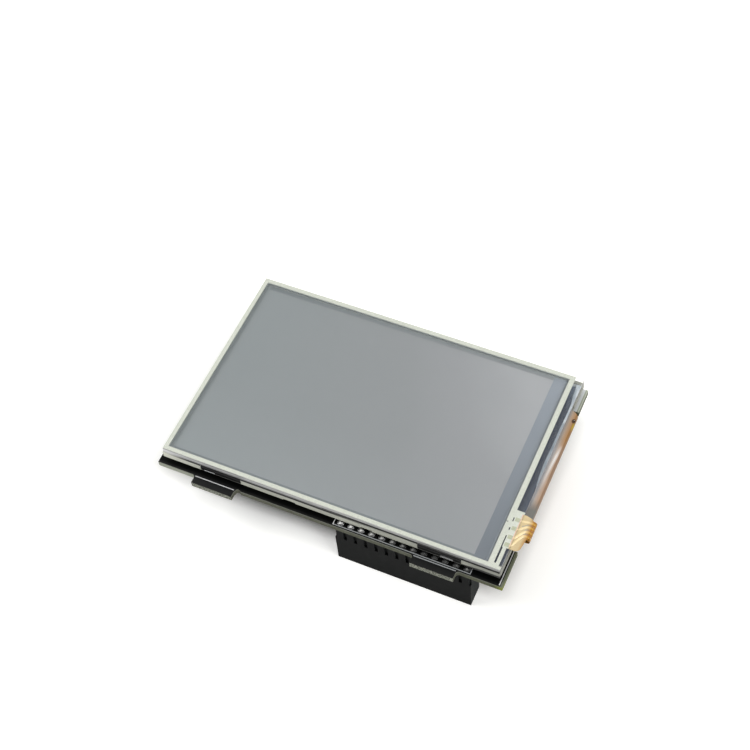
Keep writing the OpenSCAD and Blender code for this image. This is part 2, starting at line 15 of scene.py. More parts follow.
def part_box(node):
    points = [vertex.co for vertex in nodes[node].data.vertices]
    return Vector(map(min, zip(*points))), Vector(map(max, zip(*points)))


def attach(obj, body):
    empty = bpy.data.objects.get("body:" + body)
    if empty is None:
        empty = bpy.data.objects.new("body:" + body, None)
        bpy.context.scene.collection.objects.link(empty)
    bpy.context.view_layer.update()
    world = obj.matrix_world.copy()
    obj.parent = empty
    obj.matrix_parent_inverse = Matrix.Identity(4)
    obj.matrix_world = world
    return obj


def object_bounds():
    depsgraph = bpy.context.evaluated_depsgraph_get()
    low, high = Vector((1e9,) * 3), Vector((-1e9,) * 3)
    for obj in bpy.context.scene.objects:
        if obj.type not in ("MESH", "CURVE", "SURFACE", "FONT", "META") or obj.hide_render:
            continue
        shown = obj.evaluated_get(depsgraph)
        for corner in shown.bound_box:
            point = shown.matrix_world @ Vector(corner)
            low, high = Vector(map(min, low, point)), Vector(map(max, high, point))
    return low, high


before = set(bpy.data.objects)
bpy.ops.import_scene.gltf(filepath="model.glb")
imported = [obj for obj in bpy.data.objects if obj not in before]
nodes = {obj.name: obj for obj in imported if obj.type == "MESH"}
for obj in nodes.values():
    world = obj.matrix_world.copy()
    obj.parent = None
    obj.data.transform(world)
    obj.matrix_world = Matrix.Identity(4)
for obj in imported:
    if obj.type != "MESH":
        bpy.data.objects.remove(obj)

cad_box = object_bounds()
print(len(nodes), "solids, overall", [round(1000 * s, 1) for s in cad_box[1] - cad_box[0]], "mm")

# %% [markdown]
# ## Millimetres from the board's corner
# A maker measures this module from one corner of its board: X along the edge that carries the
# socket, Y away from it, Z up from the board's top face. Two helpers carry that habit over: `at`
# turns such a measure into a point of the scene, and `measured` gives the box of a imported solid.

# %% Measures from the corner
MM = 0.001
TAB_REACH = 2.1
board_low, board_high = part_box("circuit_board")
corner = Vector((board_low.x, board_low.y + TAB_REACH * MM, board_high.z))


def at(x, y, z):
    return corner + Vector((x, y, z)) * MM


def measured(node):
    low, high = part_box(node)
    return (low - corner) / MM, (high - corner) / MM


board = measured("circuit_board")
BOARD_BACK = board[0].z
print("board to", [round(v, 2) for v in board[1]], "back face at", round(BOARD_BACK, 2))

# %% [markdown]
# ## The camera
# The module is seen from above its socket edge, a little to the right, with a long lens so that its
# edges stay nearly parallel. The camera leans a few degrees, which is why the board's upright
# edges don't stand quite upright in the picture. It is made first, because every later choice of
# detail is judged through it.

# %% Camera
LENS, DISTANCE = 71.32, 0.35494
aim = Vector((-0.02448, 0.03819, 0.015))
azimuth, elevation, lean = math.radians(28.905), math.radians(54.708), math.radians(-5.873)
back = Vector(
    (
        math.sin(azimuth) * math.cos(elevation),
        -math.cos(azimuth) * math.cos(elevation),
        math.sin(elevation),
    ),
)
camera = bpy.data.objects.new("camera", bpy.data.cameras.new("camera"))
bpy.context.scene.collection.objects.link(camera)
camera.data.sensor_width = 36
camera.data.lens = LENS
camera.location = aim + back * DISTANCE
camera.rotation_mode = "QUATERNION"
camera.rotation_quaternion = (-back).to_track_quat("-Z", "Y") @ Quaternion((0, 0, 1), lean)
camera.data.clip_start, camera.data.clip_end = 0.01, 20
bpy.context.scene.camera = camera
print("camera", [round(v, 3) for v in camera.location], "lens", camera.data.lens)

# %% [markdown]
# ## A small kit for finishes
# Each finish starts from Blender's Principled shader, and most of its life comes from three moves:
# a noise that varies the colour, the same noise as a fine bump, and a mask that tells one zone of a
# piece from another by where it lies. `Finish` wraps those moves, so that each finish below reads
# as a short recipe. All patterns are placed in millimetres from the board's corner.


class Finish:
    def __init__(self, name, roughness=0.5, metallic=0.0, specular=0.5):
        self.material = bpy.data.materials.new(name)
        self.material.use_nodes = True
        self.tree = self.material.node_tree
        self.shader = self.tree.nodes["Principled BSDF"]
        self.set("Roughness", roughness)
        self.set("Metallic", metallic)
        self.set("Specular IOR Level", specular)
        self.place = None

    def give(self, node, socket, value):
        """Links a socket to an input, or writes a plain value into it."""
        if isinstance(value, bpy.types.NodeSocket):
            self.tree.links.new(value, node.inputs[socket])
        elif isinstance(value, tuple) and len(value) == 3 and node.inputs[socket].type == "RGBA":
            node.inputs[socket].default_value = (*value, 1)
        else:
            node.inputs[socket].default_value = value

    def set(self, socket, value):
        self.give(self.shader, socket, value)

    def sum(self, operation, first, second=0.0, third=None, clamp=False):
        node = self.tree.nodes.new("ShaderNodeMath")
        node.operation = operation
        node.use_clamp = clamp
        for i, value in enumerate([first, second] if third is None else [first, second, third]):
            self.give(node, i, value)
        return node.outputs[0]

    def spot(self):
        """Millimetres from the board's corner, as a vector."""
        if self.place is None:
            here = self.tree.nodes.new("ShaderNodeTexCoord").outputs["Object"]
            shift = self.tree.nodes.new("ShaderNodeVectorMath")
            shift.operation = "SUBTRACT"
            self.give(shift, 0, here)
            shift.inputs[1].default_value = corner
            scale = self.tree.nodes.new("ShaderNodeVectorMath")
            scale.operation = "SCALE"
            self.give(scale, 0, shift.outputs[0])
            scale.inputs["Scale"].default_value = 1 / MM
            self.place = scale.outputs[0]
        return self.place

    def axis(self, name):
        node = self.tree.nodes.new("ShaderNodeSeparateXYZ")
        self.give(node, 0, self.spot())
        return node.outputs[name]

    def grain(self, size, detail=3.0, stretch=(1, 1, 1)):
        """Noise whose lumps are about size millimetres, drawn out along an axis by stretch."""
        squeeze = self.tree.nodes.new("ShaderNodeVectorMath")
        squeeze.operation = "DIVIDE"
        self.give(squeeze, 0, self.spot())
        squeeze.inputs[1].default_value = stretch
        node = self.tree.nodes.new("ShaderNodeTexNoise")
        self.give(node, "Vector", squeeze.outputs[0])
        self.give(node, "Scale", 1 / size)
        self.give(node, "Detail", detail)
        return node.outputs[0]

    def pores(self, size):
        """Distance to the nearest of many scattered points, for foam and specks."""
        node = self.tree.nodes.new("ShaderNodeTexVoronoi")
        self.give(node, "Vector", self.spot())
        self.give(node, "Scale", 1 / size)
        return node.outputs["Distance"]

    def ramp(self, factor, *stops):
        node = self.tree.nodes.new("ShaderNodeValToRGB")
        self.give(node, 0, factor)
        while len(node.color_ramp.elements) < len(stops):
            node.color_ramp.elements.new(0.5)
        for element, (place, colour) in zip(node.color_ramp.elements, stops):
            element.position = place
            element.color = (*colour, 1)
        return node.outputs[0]

    def mix(self, factor, first, second):
        node = self.tree.nodes.new("ShaderNodeMix")
        node.data_type = "RGBA"
        for socket, value in ((0, factor), (6, first), (7, second)):
            self.give(node, socket, value)
        return node.outputs[2]

    def times(self, first, second):
        node = self.tree.nodes.new("ShaderNodeMix")
        node.data_type = "RGBA"
        node.blend_type = "MULTIPLY"
        for socket, value in ((0, 1.0), (6, first), (7, second)):
            self.give(node, socket, value)
        return node.outputs[2]

    def blend(self, factor, first, second):
        """A plain number that goes from first to second."""
        return self.sum("ADD", first, self.sum("MULTIPLY", factor, second - first))

    def between(self, value, low, high):
        """1 where a value lies between two limits."""
        return self.sum("COMPARE", value, (low + high) / 2, (high - low) / 2)

    def rise(self, value, low, high):
        """0 below low, 1 above high, and even in between."""
        return self.sum("MULTIPLY", self.sum("SUBTRACT", value, low), 1 / (high - low), clamp=True)

    def facing(self, name):
        """How far a face looks along an axis: 1 straight along it, -1 straight against it."""
        node = self.tree.nodes.new("ShaderNodeSeparateXYZ")
        self.give(node, 0, self.tree.nodes.new("ShaderNodeNewGeometry").outputs["Normal"])
        return node.outputs[name]

    def upright(self):
        """1 on faces that stand upright, 0 on faces that lie flat."""
        return self.sum("LESS_THAN", self.sum("ABSOLUTE", self.facing("Z")), 0.6)

    def product(self, first, *others):
        """Masks or numbers multiplied with each other."""
        for other in others:
            first = self.sum("MULTIPLY", first, other)
        return first

    def under(self, name, limit):
        """1 where a place along an axis is less than a limit."""
        return self.sum("LESS_THAN", self.axis(name), limit)

    def over(self, name, limit):
        """1 where a place along an axis is more than a limit."""
        return self.sum("GREATER_THAN", self.axis(name), limit)

    def along(self, name, low, high):
        """0 at low and 1 at high, measured along an axis."""
        return self.rise(self.axis(name), low, high)

    def within(self, name, low, high):
        """1 between two places along an axis."""
        return self.between(self.axis(name), low, high)

    def bump(self, height, depth):
        """Raises the surface by up to depth millimetres."""
        node = self.tree.nodes.new("ShaderNodeBump")
        self.give(node, "Height", height)
        self.give(node, "Distance", depth * MM)
        self.set("Normal", node.outputs[0])


def grey(value):
    return (value, value, value)


def dress(finish, *names, soften=0.0):
    """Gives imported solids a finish, and softens their edges by a few hundredths of a millimetre."""
    for name in names:
        piece = nodes[name]
        piece.data.materials.clear()
        piece.data.materials.append(finish.material)
        if soften:
            edge = piece.modifiers.new("soft_edges", "BEVEL")
            edge.width = soften * MM
            edge.segments = 2
            edge.limit_method = "ANGLE"
            edge.angle_limit = math.radians(35)
    print(finish.material.name, "->", ", ".join(names))


# %% [markdown]
# ## The circuit board
# The board is a black-masked laminate. Its flat faces show the mask, its sawn edges show the pale
# olive core with the glass cloth in thin layers, and the ends of the two tabs are snapped, so they
# are rough, dry and speckled with white fibres. One finish holds all three, told apart by which way
# a face points and where it lies.

# %% Board finish
mask = Finish("board_mask_and_core", specular=0.25)
standing = mask.upright()
cloth = mask.grain(0.35, 4.0, (5, 5, 0.35))
core = mask.ramp(
    cloth, (0.3, (0.066, 0.069, 0.048)), (0.55, (0.138, 0.143, 0.108)), (0.8, (0.25, 0.26, 0.205))
)
# Darker and more yellow-green towards the right end: a resin tint, with painted shade.
resin_tint_and_shade = mask.product(mask.along("X", 74, 85.4), 0.7)
core = mask.mix(resin_tint_and_shade, core, (0.105, 0.115, 0.055))
corner_glow = mask.product(mask.along("X", 83.4, 85.2), mask.along("Y", 3, 0))
core = mask.mix(corner_glow, core, (0.26, 0.29, 0.06))
fibres = mask.grain(0.22, 6.0)
snapped = mask.ramp(
    fibres, (0.38, (0.08, 0.085, 0.07)), (0.5, (0.24, 0.25, 0.21)), (0.62, (0.42, 0.43, 0.36))
)
tab_end = mask.under("Y", -TAB_REACH + 0.12)
# Painted light: the left end of the sawn edge is lighter.
lit_left_end = mask.product(mask.along("X", 10.2, 9.2), mask.along("Y", 12, 0))
core = mask.mix(lit_left_end, core, (0.40, 0.42, 0.35))
# Painted light: the upper half of the sawn edge is lighter.
lit_upper_half = mask.product(mask.over("Z", -0.35), 0.5)
core = mask.mix(lit_upper_half, core, (0.30, 0.31, 0.27))
core = mask.mix(tab_end, core, snapped)
film_black = mask.ramp(
    mask.grain(3.0), (0.3, (0.0034, 0.0040, 0.0038)), (0.7, (0.0055, 0.0060, 0.0058))
)
bare_and_shade_spot = mask.sum(
    "GREATER_THAN", mask.sum("ADD", mask.axis("X"), mask.product(fibres, 0.12)), board[1].x - 0.42
)
# Painted shade: the bare strip is left black between Y 44 and 47.9, where it shows through the flex's hole.
bare_and_shade_spot = mask.product(bare_and_shade_spot, mask.sum("SUBTRACT", 1.0, mask.within("Y", 44, 47.9)))
# Painted shade: the mask under the frame's front edge, from Y 0.8 to 10, is darker and reflects less.
shade_under_frame = mask.product(mask.along("Y", 0.1, 0.8), mask.along("Y", 12, 10))
film_black = mask.mix(mask.product(shade_under_frame, 0.7), film_black, grey(0.0004))
film_black = mask.mix(bare_and_shade_spot, film_black, (0.15, 0.165, 0.115))
# Pale bands across the board's far right corner, made lighter with painted light where the panel shades
# them.
far_strip_and_light = mask.ramp(
    mask.along("X", 83.4, board[1].x),
    (0.0, (0.84, 0.86, 0.88)),
    (0.3, (0.95, 0.97, 0.98)),
    (0.4, (0.68, 0.70, 0.71)),
    (0.68, (0.75, 0.78, 0.77)),
    (0.78, (0.36, 0.39, 0.30)),
    (0.92, (0.60, 0.64, 0.54)),
)
bare_end = mask.product(mask.along("Y", 47.5, 49.0), mask.over("X", 83.4))
film_black = mask.mix(bare_end, film_black, far_strip_and_light)
mask.set("Base Color", mask.mix(standing, film_black, core))
mask.set("Roughness", mask.blend(standing, 0.38, 0.85))
mask.set("Specular IOR Level", mask.blend(shade_under_frame, 0.25, 0.08))
mask.bump(mask.product(fibres, mask.blend(standing, 0.08, 1.0)), 0.05)
dress(mask, "circuit_board")

# %% [markdown]
# ## Socket, contacts and solder
# The socket is moulded from a stiff black plastic with a faint grain. Its contacts are stamped from
# springy bronze and plated. The solder cones are bright tin, which wants a low roughness and a soft
# unevenness, because a perfect cone of metal looks turned on a lathe, not soldered.

# %% Socket finishes
plastic = Finish("socket_plastic", roughness=0.55, specular=0.06)
speck = plastic.grain(0.12, 4.0)
moulded = plastic.ramp(
    plastic.grain(1.6), (0.3, (0.0060, 0.0066, 0.0068)), (0.7, (0.0095, 0.0104, 0.0108))
)
# Painted light: faces turned to +X are lighter, lit from the right.
lit_right_faces = plastic.ramp(plastic.grain(0.5), (0.3, (0.026, 0.029, 0.029)), (0.7, (0.036, 0.040, 0.040)))
plastic.set(
    "Base Color", plastic.mix(plastic.sum("GREATER_THAN", plastic.facing("X"), 0.7), moulded, lit_right_faces)
)
plastic.bump(speck, 0.006)
dress(plastic, "socket_housing", soften=0.07)

plating = Finish("contact_plating", roughness=0.28, metallic=1.0)
plating.set(
    "Base Color", plating.ramp(plating.grain(0.8), (0.3, (0.80, 0.62, 0.30)), (0.7, (0.92, 0.77, 0.45)))
)
plating.bump(plating.grain(0.1, 4.0), 0.004)
dress(plating, "socket_contacts_near", "socket_contacts_far")

tin = Finish("solder_tin", metallic=1.0)
lumps = tin.grain(0.45, 2.0)
tin.set("Base Color", tin.ramp(lumps, (0.3, grey(0.62)), (0.7, (0.88, 0.88, 0.9))))
tin.set("Roughness", tin.blend(tin.grain(0.25), 0.12, 0.4))
tin.bump(lumps, 0.06)
dress(tin, "chip_leads", "regulator_leads")

joint = Finish("solder_joint", metallic=1.0)
solder = joint.ramp(joint.grain(0.4, 2.0), (0.35, grey(0.85)), (0.7, grey(1.0)))
# Painted light: the joints grow darker from X 48 to 62, so only the left ones catch bright highlights.
joint.set(
    "Base Color",
    joint.times(solder, joint.ramp(joint.along("X", 48, 62), (0.0, grey(1.0)), (1.0, grey(0.25)))),
)
joint.set("Roughness", joint.blend(joint.grain(0.25), 0.2, 0.34))
joint.bump(joint.grain(0.6, 2.0), 0.02)
dress(joint, "solder_joints_near", "solder_joints_far")

# %% [markdown]
# ## The backlight
# Most of the backlight is shut in between the board and the glass: foam strips, a moulded frame, and
# a stack of thin sheets over the light guide. The frame's near wall and the foam's shadow show all
# along the front edge, so the frame gets the care of an outside piece: a cream plastic that lets a
# little light in.

# %% Foam and frame finishes
GAPS, GAP_LENGTH = (11.0, 65.0), 10.4
foam = Finish("foam_black", roughness=0.95, specular=0.05)
pore = foam.pores(0.18)
foam.set("Base Color", foam.ramp(pore, (0.0, grey(0.002)), (0.7, grey(0.007))))
foam.bump(pore, 0.08)
dress(foam, "foam_tape")

cream = Finish("frame_cream", roughness=0.42)
body = cream.ramp(cream.grain(4.0), (0.3, (0.50, 0.51, 0.44)), (0.7, (0.58, 0.59, 0.52)))
# Painted light: the cream is lighter towards the left end.
body = cream.times(
    body,
    cream.ramp(
        cream.along("X", 2, 62),
        (0.0, grey(1.6)),
        (0.08, grey(1.27)),
        (0.33, grey(1.07)),
        (0.63, grey(0.98)),
        (1.0, grey(0.86)),
    ),
)
# Painted shade: the cream darkens over the right end.
body = cream.times(body, cream.ramp(cream.along("X", 74, 80), (0.0, grey(1.0)), (1.0, grey(0.74))))
frame_box = measured("backlight_frame")
face = cream.under("Y", frame_box[0].y + 0.6)
foot = cream.under("Z", frame_box[0].z + 0.2)
# Painted shade: the bars at the foot of both gaps are dark, in the tape's shadow; one stretch of the second
# is a lighter grey.
for start in GAPS:
    bar = cream.product(cream.within("X", start + 0.1, start + GAP_LENGTH - 0.1), foot)
    body = cream.mix(bar, body, (0.115, 0.115, 0.11))
body = cream.mix(cream.product(cream.within("X", 70.4, 73.4), foot), body, grey(0.36))
# Painted shade: the foot of the wall's right end is nearly black, to a height that grows towards the right.
shade_right_foot = cream.sum("ADD", frame_box[0].z + 0.35, cream.product(cream.along("X", 75.4, 79.5), 0.45))
shade_right_foot = cream.product(cream.under("Z", shade_right_foot), cream.over("X", 75.4))
shade_right_foot = cream.product(shade_right_foot, face)
shaded = cream.product(cream.along("X", 60, 44), cream.along("X", 1, 8))
shaded = cream.product(shaded, cream.over("Z", frame_box[1].z - 0.34))
shaded = cream.product(shaded, cream.under("Y", frame_box[0].y + 0.3))
body = cream.mix(shaded, body, grey(0.02))
cream.set("Base Color", cream.mix(shade_right_foot, body, grey(0.03)))
cream.set("Subsurface Weight", 0.12)
cream.set("Subsurface Radius", (0.0006, 0.0006, 0.0005))
cream.bump(cream.grain(0.15, 4.0), 0.004)
dress(cream, "backlight_frame", soften=0.06)

# %% Sheet finishes
white_sheet = Finish("sheet_white", roughness=0.4)
white_sheet.set(
    "Base Color",
    white_sheet.ramp(white_sheet.grain(2.0), (0.3, (0.80, 0.82, 0.84)), (0.7, (0.88, 0.89, 0.9))),
)
dress(white_sheet, "reflector_sheet")

ridged = Finish("prism_sheet", roughness=0.3)
ridge = ridged.sum("SINE", ridged.product(ridged.axis("Y"), 60.0))
ridged.bump(ridge, 0.01)
ridges = ridged.ramp(ridge, (0.0, (0.60, 0.63, 0.66)), (1.0, (0.82, 0.84, 0.86)))
plain = Finish("diffuser_white", roughness=0.4)
milk_white = plain.ramp(plain.grain(2.0), (0.3, (0.80, 0.82, 0.84)), (0.7, (0.88, 0.89, 0.9)))
# Painted shade: the ends of the sheets next to the frame's wall are made nearly black.
for finish, whole in ((ridged, ridges), (plain, milk_white)):
    shaded_ear = finish.under("Y", measured("backlight_frame")[0].y + 0.8)
    finish.set("Base Color", finish.mix(shaded_ear, whole, grey(0.012)))
dress(ridged, "prism_sheet_lower", "prism_sheet_upper")
dress(plain, "diffuser_sheet")

guide = Finish("light_guide_clear", roughness=0.15)
guide.set(
    "Base Color", guide.ramp(guide.pores(0.4), (0.1, (0.88, 0.92, 0.93)), (0.5, (0.70, 0.76, 0.78)))
)
dress(guide, "light_guide")

lamp_body = Finish("led_body", roughness=0.35)
lamp_body.set(
    "Base Color",
    lamp_body.ramp(lamp_body.grain(0.6), (0.3, (0.78, 0.74, 0.42)), (0.7, (0.86, 0.84, 0.62))),
)
dress(lamp_body, "backlight_leds")

# %% [markdown]
# ## Tapes and glass
# Black tape keeps the backlight's light in, and its flaps show in two gaps of the frame's wall. The cell is
# two panes of dark glass. On top of it lies the polariser: switched off, it is a calm grey, and round the
# lit area the printed black mask shows through as a bluish band. That band is part of the same sheet, so one
# finish draws both, split at the limits of the lit area. A reflection is painted into both, and the band is
# painted lighter where the border shades it.

# %% Tape and cell finishes
tape = Finish("tape_black", roughness=0.5, specular=0.15)
dull = tape.ramp(tape.grain(1.5), (0.3, grey(0.006)), (0.7, grey(0.010)))
# Painted light: the tape's flaps grow lighter towards their top.
lit_flap_top = tape.product(tape.along("Z", 2.4, 3.4), tape.under("Z", 3.41))
lit_flap_top = tape.product(lit_flap_top, tape.under("Y", 1.5))
dull = tape.mix(lit_flap_top, dull, grey(0.085))
# Painted light: the front of the tape and foam above the frame is painted grey, light at the left end and
# nearly black from X 50 on, a little lighter in the second gap.
lit_lip = tape.product(tape.over("Z", tape.blend(tape.along("X", 4, 8), 3.41, 3.6)), tape.under("Y", 1.5))
dull = tape.mix(
    lit_lip,
    dull,
    tape.ramp(
        tape.along("X", 3, 60),
        (0.0, grey(0.7)),
        (0.06, grey(0.35)),
        (0.12, grey(0.26)),
        (0.65, grey(0.18)),
        (0.82, grey(0.02)),
        (1.0, grey(0.02)),
    ),
)
lit_gap_lip = tape.product(lit_lip, tape.within("X", GAPS[1], GAPS[1] + GAP_LENGTH))
dull = tape.mix(lit_gap_lip, dull, grey(0.09))
# Painted light: where tape and foam show inside the border, at the far side and at both ends, they are made
# pale.
sides = tape.sum("MAXIMUM", tape.under("X", 4), tape.over("X", 79.7))
lit_inner = tape.sum("MAXIMUM", tape.over("Y", 53), tape.product(sides, tape.over("Y", 2.2)))
tape.set("Base Color", tape.mix(lit_inner, dull, (0.82, 0.87, 0.90)))
tape.bump(tape.grain(0.9, 2.0), 0.03)
dress(tape, "light_shield_tape", "touch_adhesive")

cell = Finish("cell_glass", roughness=0.12)
dark_glass = cell.ramp(cell.grain(6.0), (0.3, (0.035, 0.045, 0.062)), (0.7, (0.05, 0.062, 0.085)))
# Painted light: the glass is pale grey under the border's edges, at the far side, the left end and near the
# right end.
lit_rim = cell.sum("MAXIMUM", cell.over("Y", 53), cell.under("X", 3.2))
lit_rim = cell.sum("MAXIMUM", lit_rim, cell.within("X", 79.7, 81.2))
cell.set("Base Color", cell.mix(lit_rim, dark_glass, (0.48, 0.52, 0.55)))
dress(cell, "tft_glass", "colour_filter_glass", "lower_polariser", soften=0.03)

blue_tape = Finish("ledge_tape_blue", roughness=0.3)
blue = blue_tape.ramp(
    blue_tape.grain(2.5, 3.0, (1, 4, 1)), (0.3, (0.028, 0.043, 0.080)), (0.7, (0.043, 0.061, 0.104))
)
blue = blue_tape.mix(blue_tape.along("Y", 47, 52), blue, (0.13, 0.17, 0.24))
blue_tape.set("Base Color", blue)
blue_tape.bump(blue_tape.grain(1.2), 0.03)
dress(blue_tape, "ledge_tape")

silicon = Finish("driver_chip_silicon", roughness=0.2, metallic=0.4)
silicon.set(
    "Base Color", silicon.ramp(silicon.grain(0.5), (0.3, (0.10, 0.105, 0.13)), (0.7, (0.16, 0.17, 0.2)))
)
dress(silicon, "driver_chip")

# %% The screen
LIT_LOW, LIT_HIGH = (3.45, 3.35), (77.62, 52.7)
screen = Finish("screen_grey", roughness=0.32, specular=0.4)
lit = screen.product(
    screen.within("X", LIT_LOW[0], LIT_HIGH[0]), screen.within("Y", LIT_LOW[1], LIT_HIGH[1])
)
across = screen.along("X", 4.0, 77.0)
deep = screen.along("Y", 4.0, 52.0)
# Painted reflection: the grey grows lighter towards the right, most along the far side, and a little lighter
# again at the near edge.
sheen_slope = screen.product(across, screen.blend(deep, 0.6, 1.1))
sheen_slope = screen.sum(
    "ADD", sheen_slope, screen.product(screen.sum("SUBTRACT", screen.grain(18.0, 2.0), 0.5), 0.2)
)
grey_and_sheen = screen.ramp(
    sheen_slope,
    (0.0, (0.278, 0.306, 0.328)),
    (0.5, (0.300, 0.315, 0.338)),
    (0.75, (0.345, 0.353, 0.382)),
    (1.0, (0.445, 0.452, 0.485)),
)
edge = screen.over("X", LIT_HIGH[0])
# The band is lighter towards the right and the far side, a painted reflection, and painted lighter still
# along the border's left, far and right edges, where the border's shadow falls.
band_and_light = screen.mix(
    edge,
    screen.mix(screen.product(across, deep), (0.200, 0.226, 0.246), (0.31, 0.33, 0.355)),
    screen.mix(deep, (0.172, 0.196, 0.235), (0.325, 0.36, 0.425)),
)
band_and_light = screen.mix(screen.under("X", 3.4), band_and_light, (0.285, 0.318, 0.34))
band_and_light = screen.mix(screen.over("Y", 53.7), band_and_light, (0.33, 0.36, 0.385))
band_and_light = screen.mix(screen.over("X", 80.4), band_and_light, (0.27, 0.305, 0.355))
grey_and_sheen = screen.times(grey_and_sheen, screen.ramp(deep, (0.0, grey(1.07)), (0.4, grey(1.0))))
screen.set("Base Color", screen.mix(lit, band_and_light, grey_and_sheen))
screen.bump(screen.grain(0.4, 2.0), 0.0003)
dress(screen, "upper_polariser")

# %% [markdown]
# ## The touch panel
# The touch panel is a sheet of glass with a clear film over it, and a cream border printed between
# the two. Both are clear from above and show only as a soft reflection, yet their cut edges look
# solid grey. Refraction would bend the screen's lines by less than the eye sees here and would cost
# clean light, so both are made with a Transparent shader, mixed with a gloss that grows towards
# grazing angles, and their upright edges stay solid.


# %% Clear sheets
def clear_sheet(name, tint, edge_low, edge_high, sheen, roughness):
    """See-through from above with a gloss of its own, and solid on its upright edges."""
    sheet = Finish(name, roughness=0.25)
    sheet.set(
        "Base Color",
        sheet.ramp(sheet.grain(1.5, 3.0, (3, 3, 0.3)), (0.35, edge_low), (0.65, edge_high)),
    )
    new, link = sheet.tree.nodes.new, sheet.tree.links.new
    clear = new("ShaderNodeBsdfTransparent")
    clear.inputs[0].default_value = (*tint, 1)
    gloss = new("ShaderNodeBsdfGlossy")
    sheet.give(gloss, "Roughness", roughness)
    facing = new("ShaderNodeLayerWeight")
    facing.inputs["Blend"].default_value = 0.5
    grazing = sheet.sum("POWER", facing.outputs["Facing"], 4.0)
    share = sheet.sum("ADD", sheen, sheet.product(grazing, 0.7), clamp=True)
    front = sheet.sum("SUBTRACT", 1.0, new("ShaderNodeNewGeometry").outputs["Backfacing"])
    pane = new("ShaderNodeMixShader")
    sheet.give(pane, 0, sheet.product(share, front))
    link(clear.outputs[0], pane.inputs[1])
    link(gloss.outputs[0], pane.inputs[2])
    whole = new("ShaderNodeMixShader")
    sheet.give(whole, 0, sheet.product(sheet.upright(), front))
    link(pane.outputs[0], whole.inputs[1])
    link(sheet.shader.outputs[0], whole.inputs[2])
    link(whole.outputs[0], sheet.tree.nodes["Material Output"].inputs["Surface"])
    return sheet


film = clear_sheet(
    "touch_film_clear", (0.985, 0.985, 0.98), (0.50, 0.51, 0.52), (0.68, 0.69, 0.69), 0.05, 0.12
)
dress(film, "touch_film")
pane = clear_sheet(
    "touch_glass_clear", (0.985, 0.99, 0.985), (0.46, 0.46, 0.47), (0.62, 0.62, 0.63), 0.02, 0.05
)
side = pane.shader.inputs["Base Color"].links[0].from_socket
# Painted light: the glass's cut edge is lighter towards the left end and darker towards the right.
side = pane.times(
    side,
    pane.ramp(
        pane.along("X", 2, 75),
        (0.0, grey(1.5)),
        (0.05, grey(1.2)),
        (0.1, grey(1.05)),
        (1.0, grey(0.62)),
    ),
)
under_ink = pane.product(pane.over("Z", measured("touch_glass")[1].z - 0.2), pane.along("X", 60, 20))
side = pane.mix(pane.product(under_ink, 0.8), side, grey(0.08))
at_foot = pane.under("Z", measured("touch_glass")[0].z + 0.14)
at_foot = pane.product(at_foot, pane.over("X", 42))
pane.set("Base Color", pane.mix(at_foot, side, grey(0.02)))
dress(pane, "touch_glass")

# %% [markdown]
# The border is a silver ink under the film: almost white, with a breath of green, and finely
# speckled where the ink is thin.

# %% Border ink
ink = Finish("border_ink", roughness=0.5)
ink.set(
    "Base Color", ink.ramp(ink.grain(0.5, 5.0), (0.3, (0.60, 0.63, 0.55)), (0.7, (0.69, 0.715, 0.635)))
)
ink.bump(ink.grain(0.2, 3.0), 0.003)
dress(ink, "touch_border")

# %% [markdown]
# ## The two flexes
# Both flexes are copper between amber plastic films. The panel's flex is wide, brown-orange and
# glossy where it bends. The touch panel's tail is thinner and more yellow, because less copper
# lies in it. The fine copper lines of the wide flex run across the board's edge, so a wave along Y
# draws them; the four broad traces of the tail are pieces of their own, made further on.
# The wide flex is brown at its near end and more orange at its far end. One soft sheen lies where
# the bend faces the light, and a patch of film with no copper under it looks yellow.

# %% Flex finishes
amber = Finish("flex_amber", roughness=0.28)
lines = amber.sum("SINE", amber.product(amber.axis("Y"), 2 * math.pi / 0.5))
wander = amber.product(amber.sum("SUBTRACT", amber.grain(2.5, 3.0, (1, 4, 1)), 0.5), 0.15)
sunk = amber.sum("SUBTRACT", 3.4, amber.axis("Z"))
over_bend = amber.sum("ADD", amber.sum("ADD", amber.axis("X"), amber.product(sunk, 0.18)), wander)
along_bend = amber.sum("SUBTRACT", amber.axis("Y"), amber.product(sunk, 0.57))
across_bend = amber.rise(over_bend, 84.2, 86.0)
brown = amber.ramp(
    across_bend,
    (0.05, (0.40, 0.42, 0.45)),
    (0.35, (0.58, 0.49, 0.42)),
    (0.78, (0.56, 0.37, 0.25)),
    (0.9, (0.34, 0.21, 0.13)),
)
orange = amber.ramp(
    across_bend,
    (0.05, (0.37, 0.35, 0.32)),
    (0.35, (0.52, 0.38, 0.27)),
    (0.78, (0.48, 0.26, 0.11)),
    (0.9, (0.34, 0.17, 0.05)),
)
shade = amber.mix(amber.rise(along_bend, 35.5, 38.5), brown, orange)
off_sheen = amber.sum(
    "ABSOLUTE",
    amber.sum("SUBTRACT", over_bend, amber.blend(amber.rise(along_bend, 28, 36), 84.95, 85.4)),
)
sheen = amber.product(amber.rise(along_bend, 24, 32), amber.rise(along_bend, 37, 34))
sheen = amber.product(sheen, amber.rise(off_sheen, 0.5, 0.1))
shade = amber.mix(sheen, shade, (0.98, 0.94, 0.89))
bare_film = amber.product(amber.rise(along_bend, 41.2, 42.2), amber.rise(along_bend, 44, 43))
bare_film = amber.product(bare_film, amber.rise(over_bend, 85.7, 85.9))
shade = amber.mix(bare_film, shade, (0.52, 0.36, 0.03))
shade = amber.mix(amber.rise(along_bend, 21.5, 18.5), shade, (0.21, 0.21, 0.195))
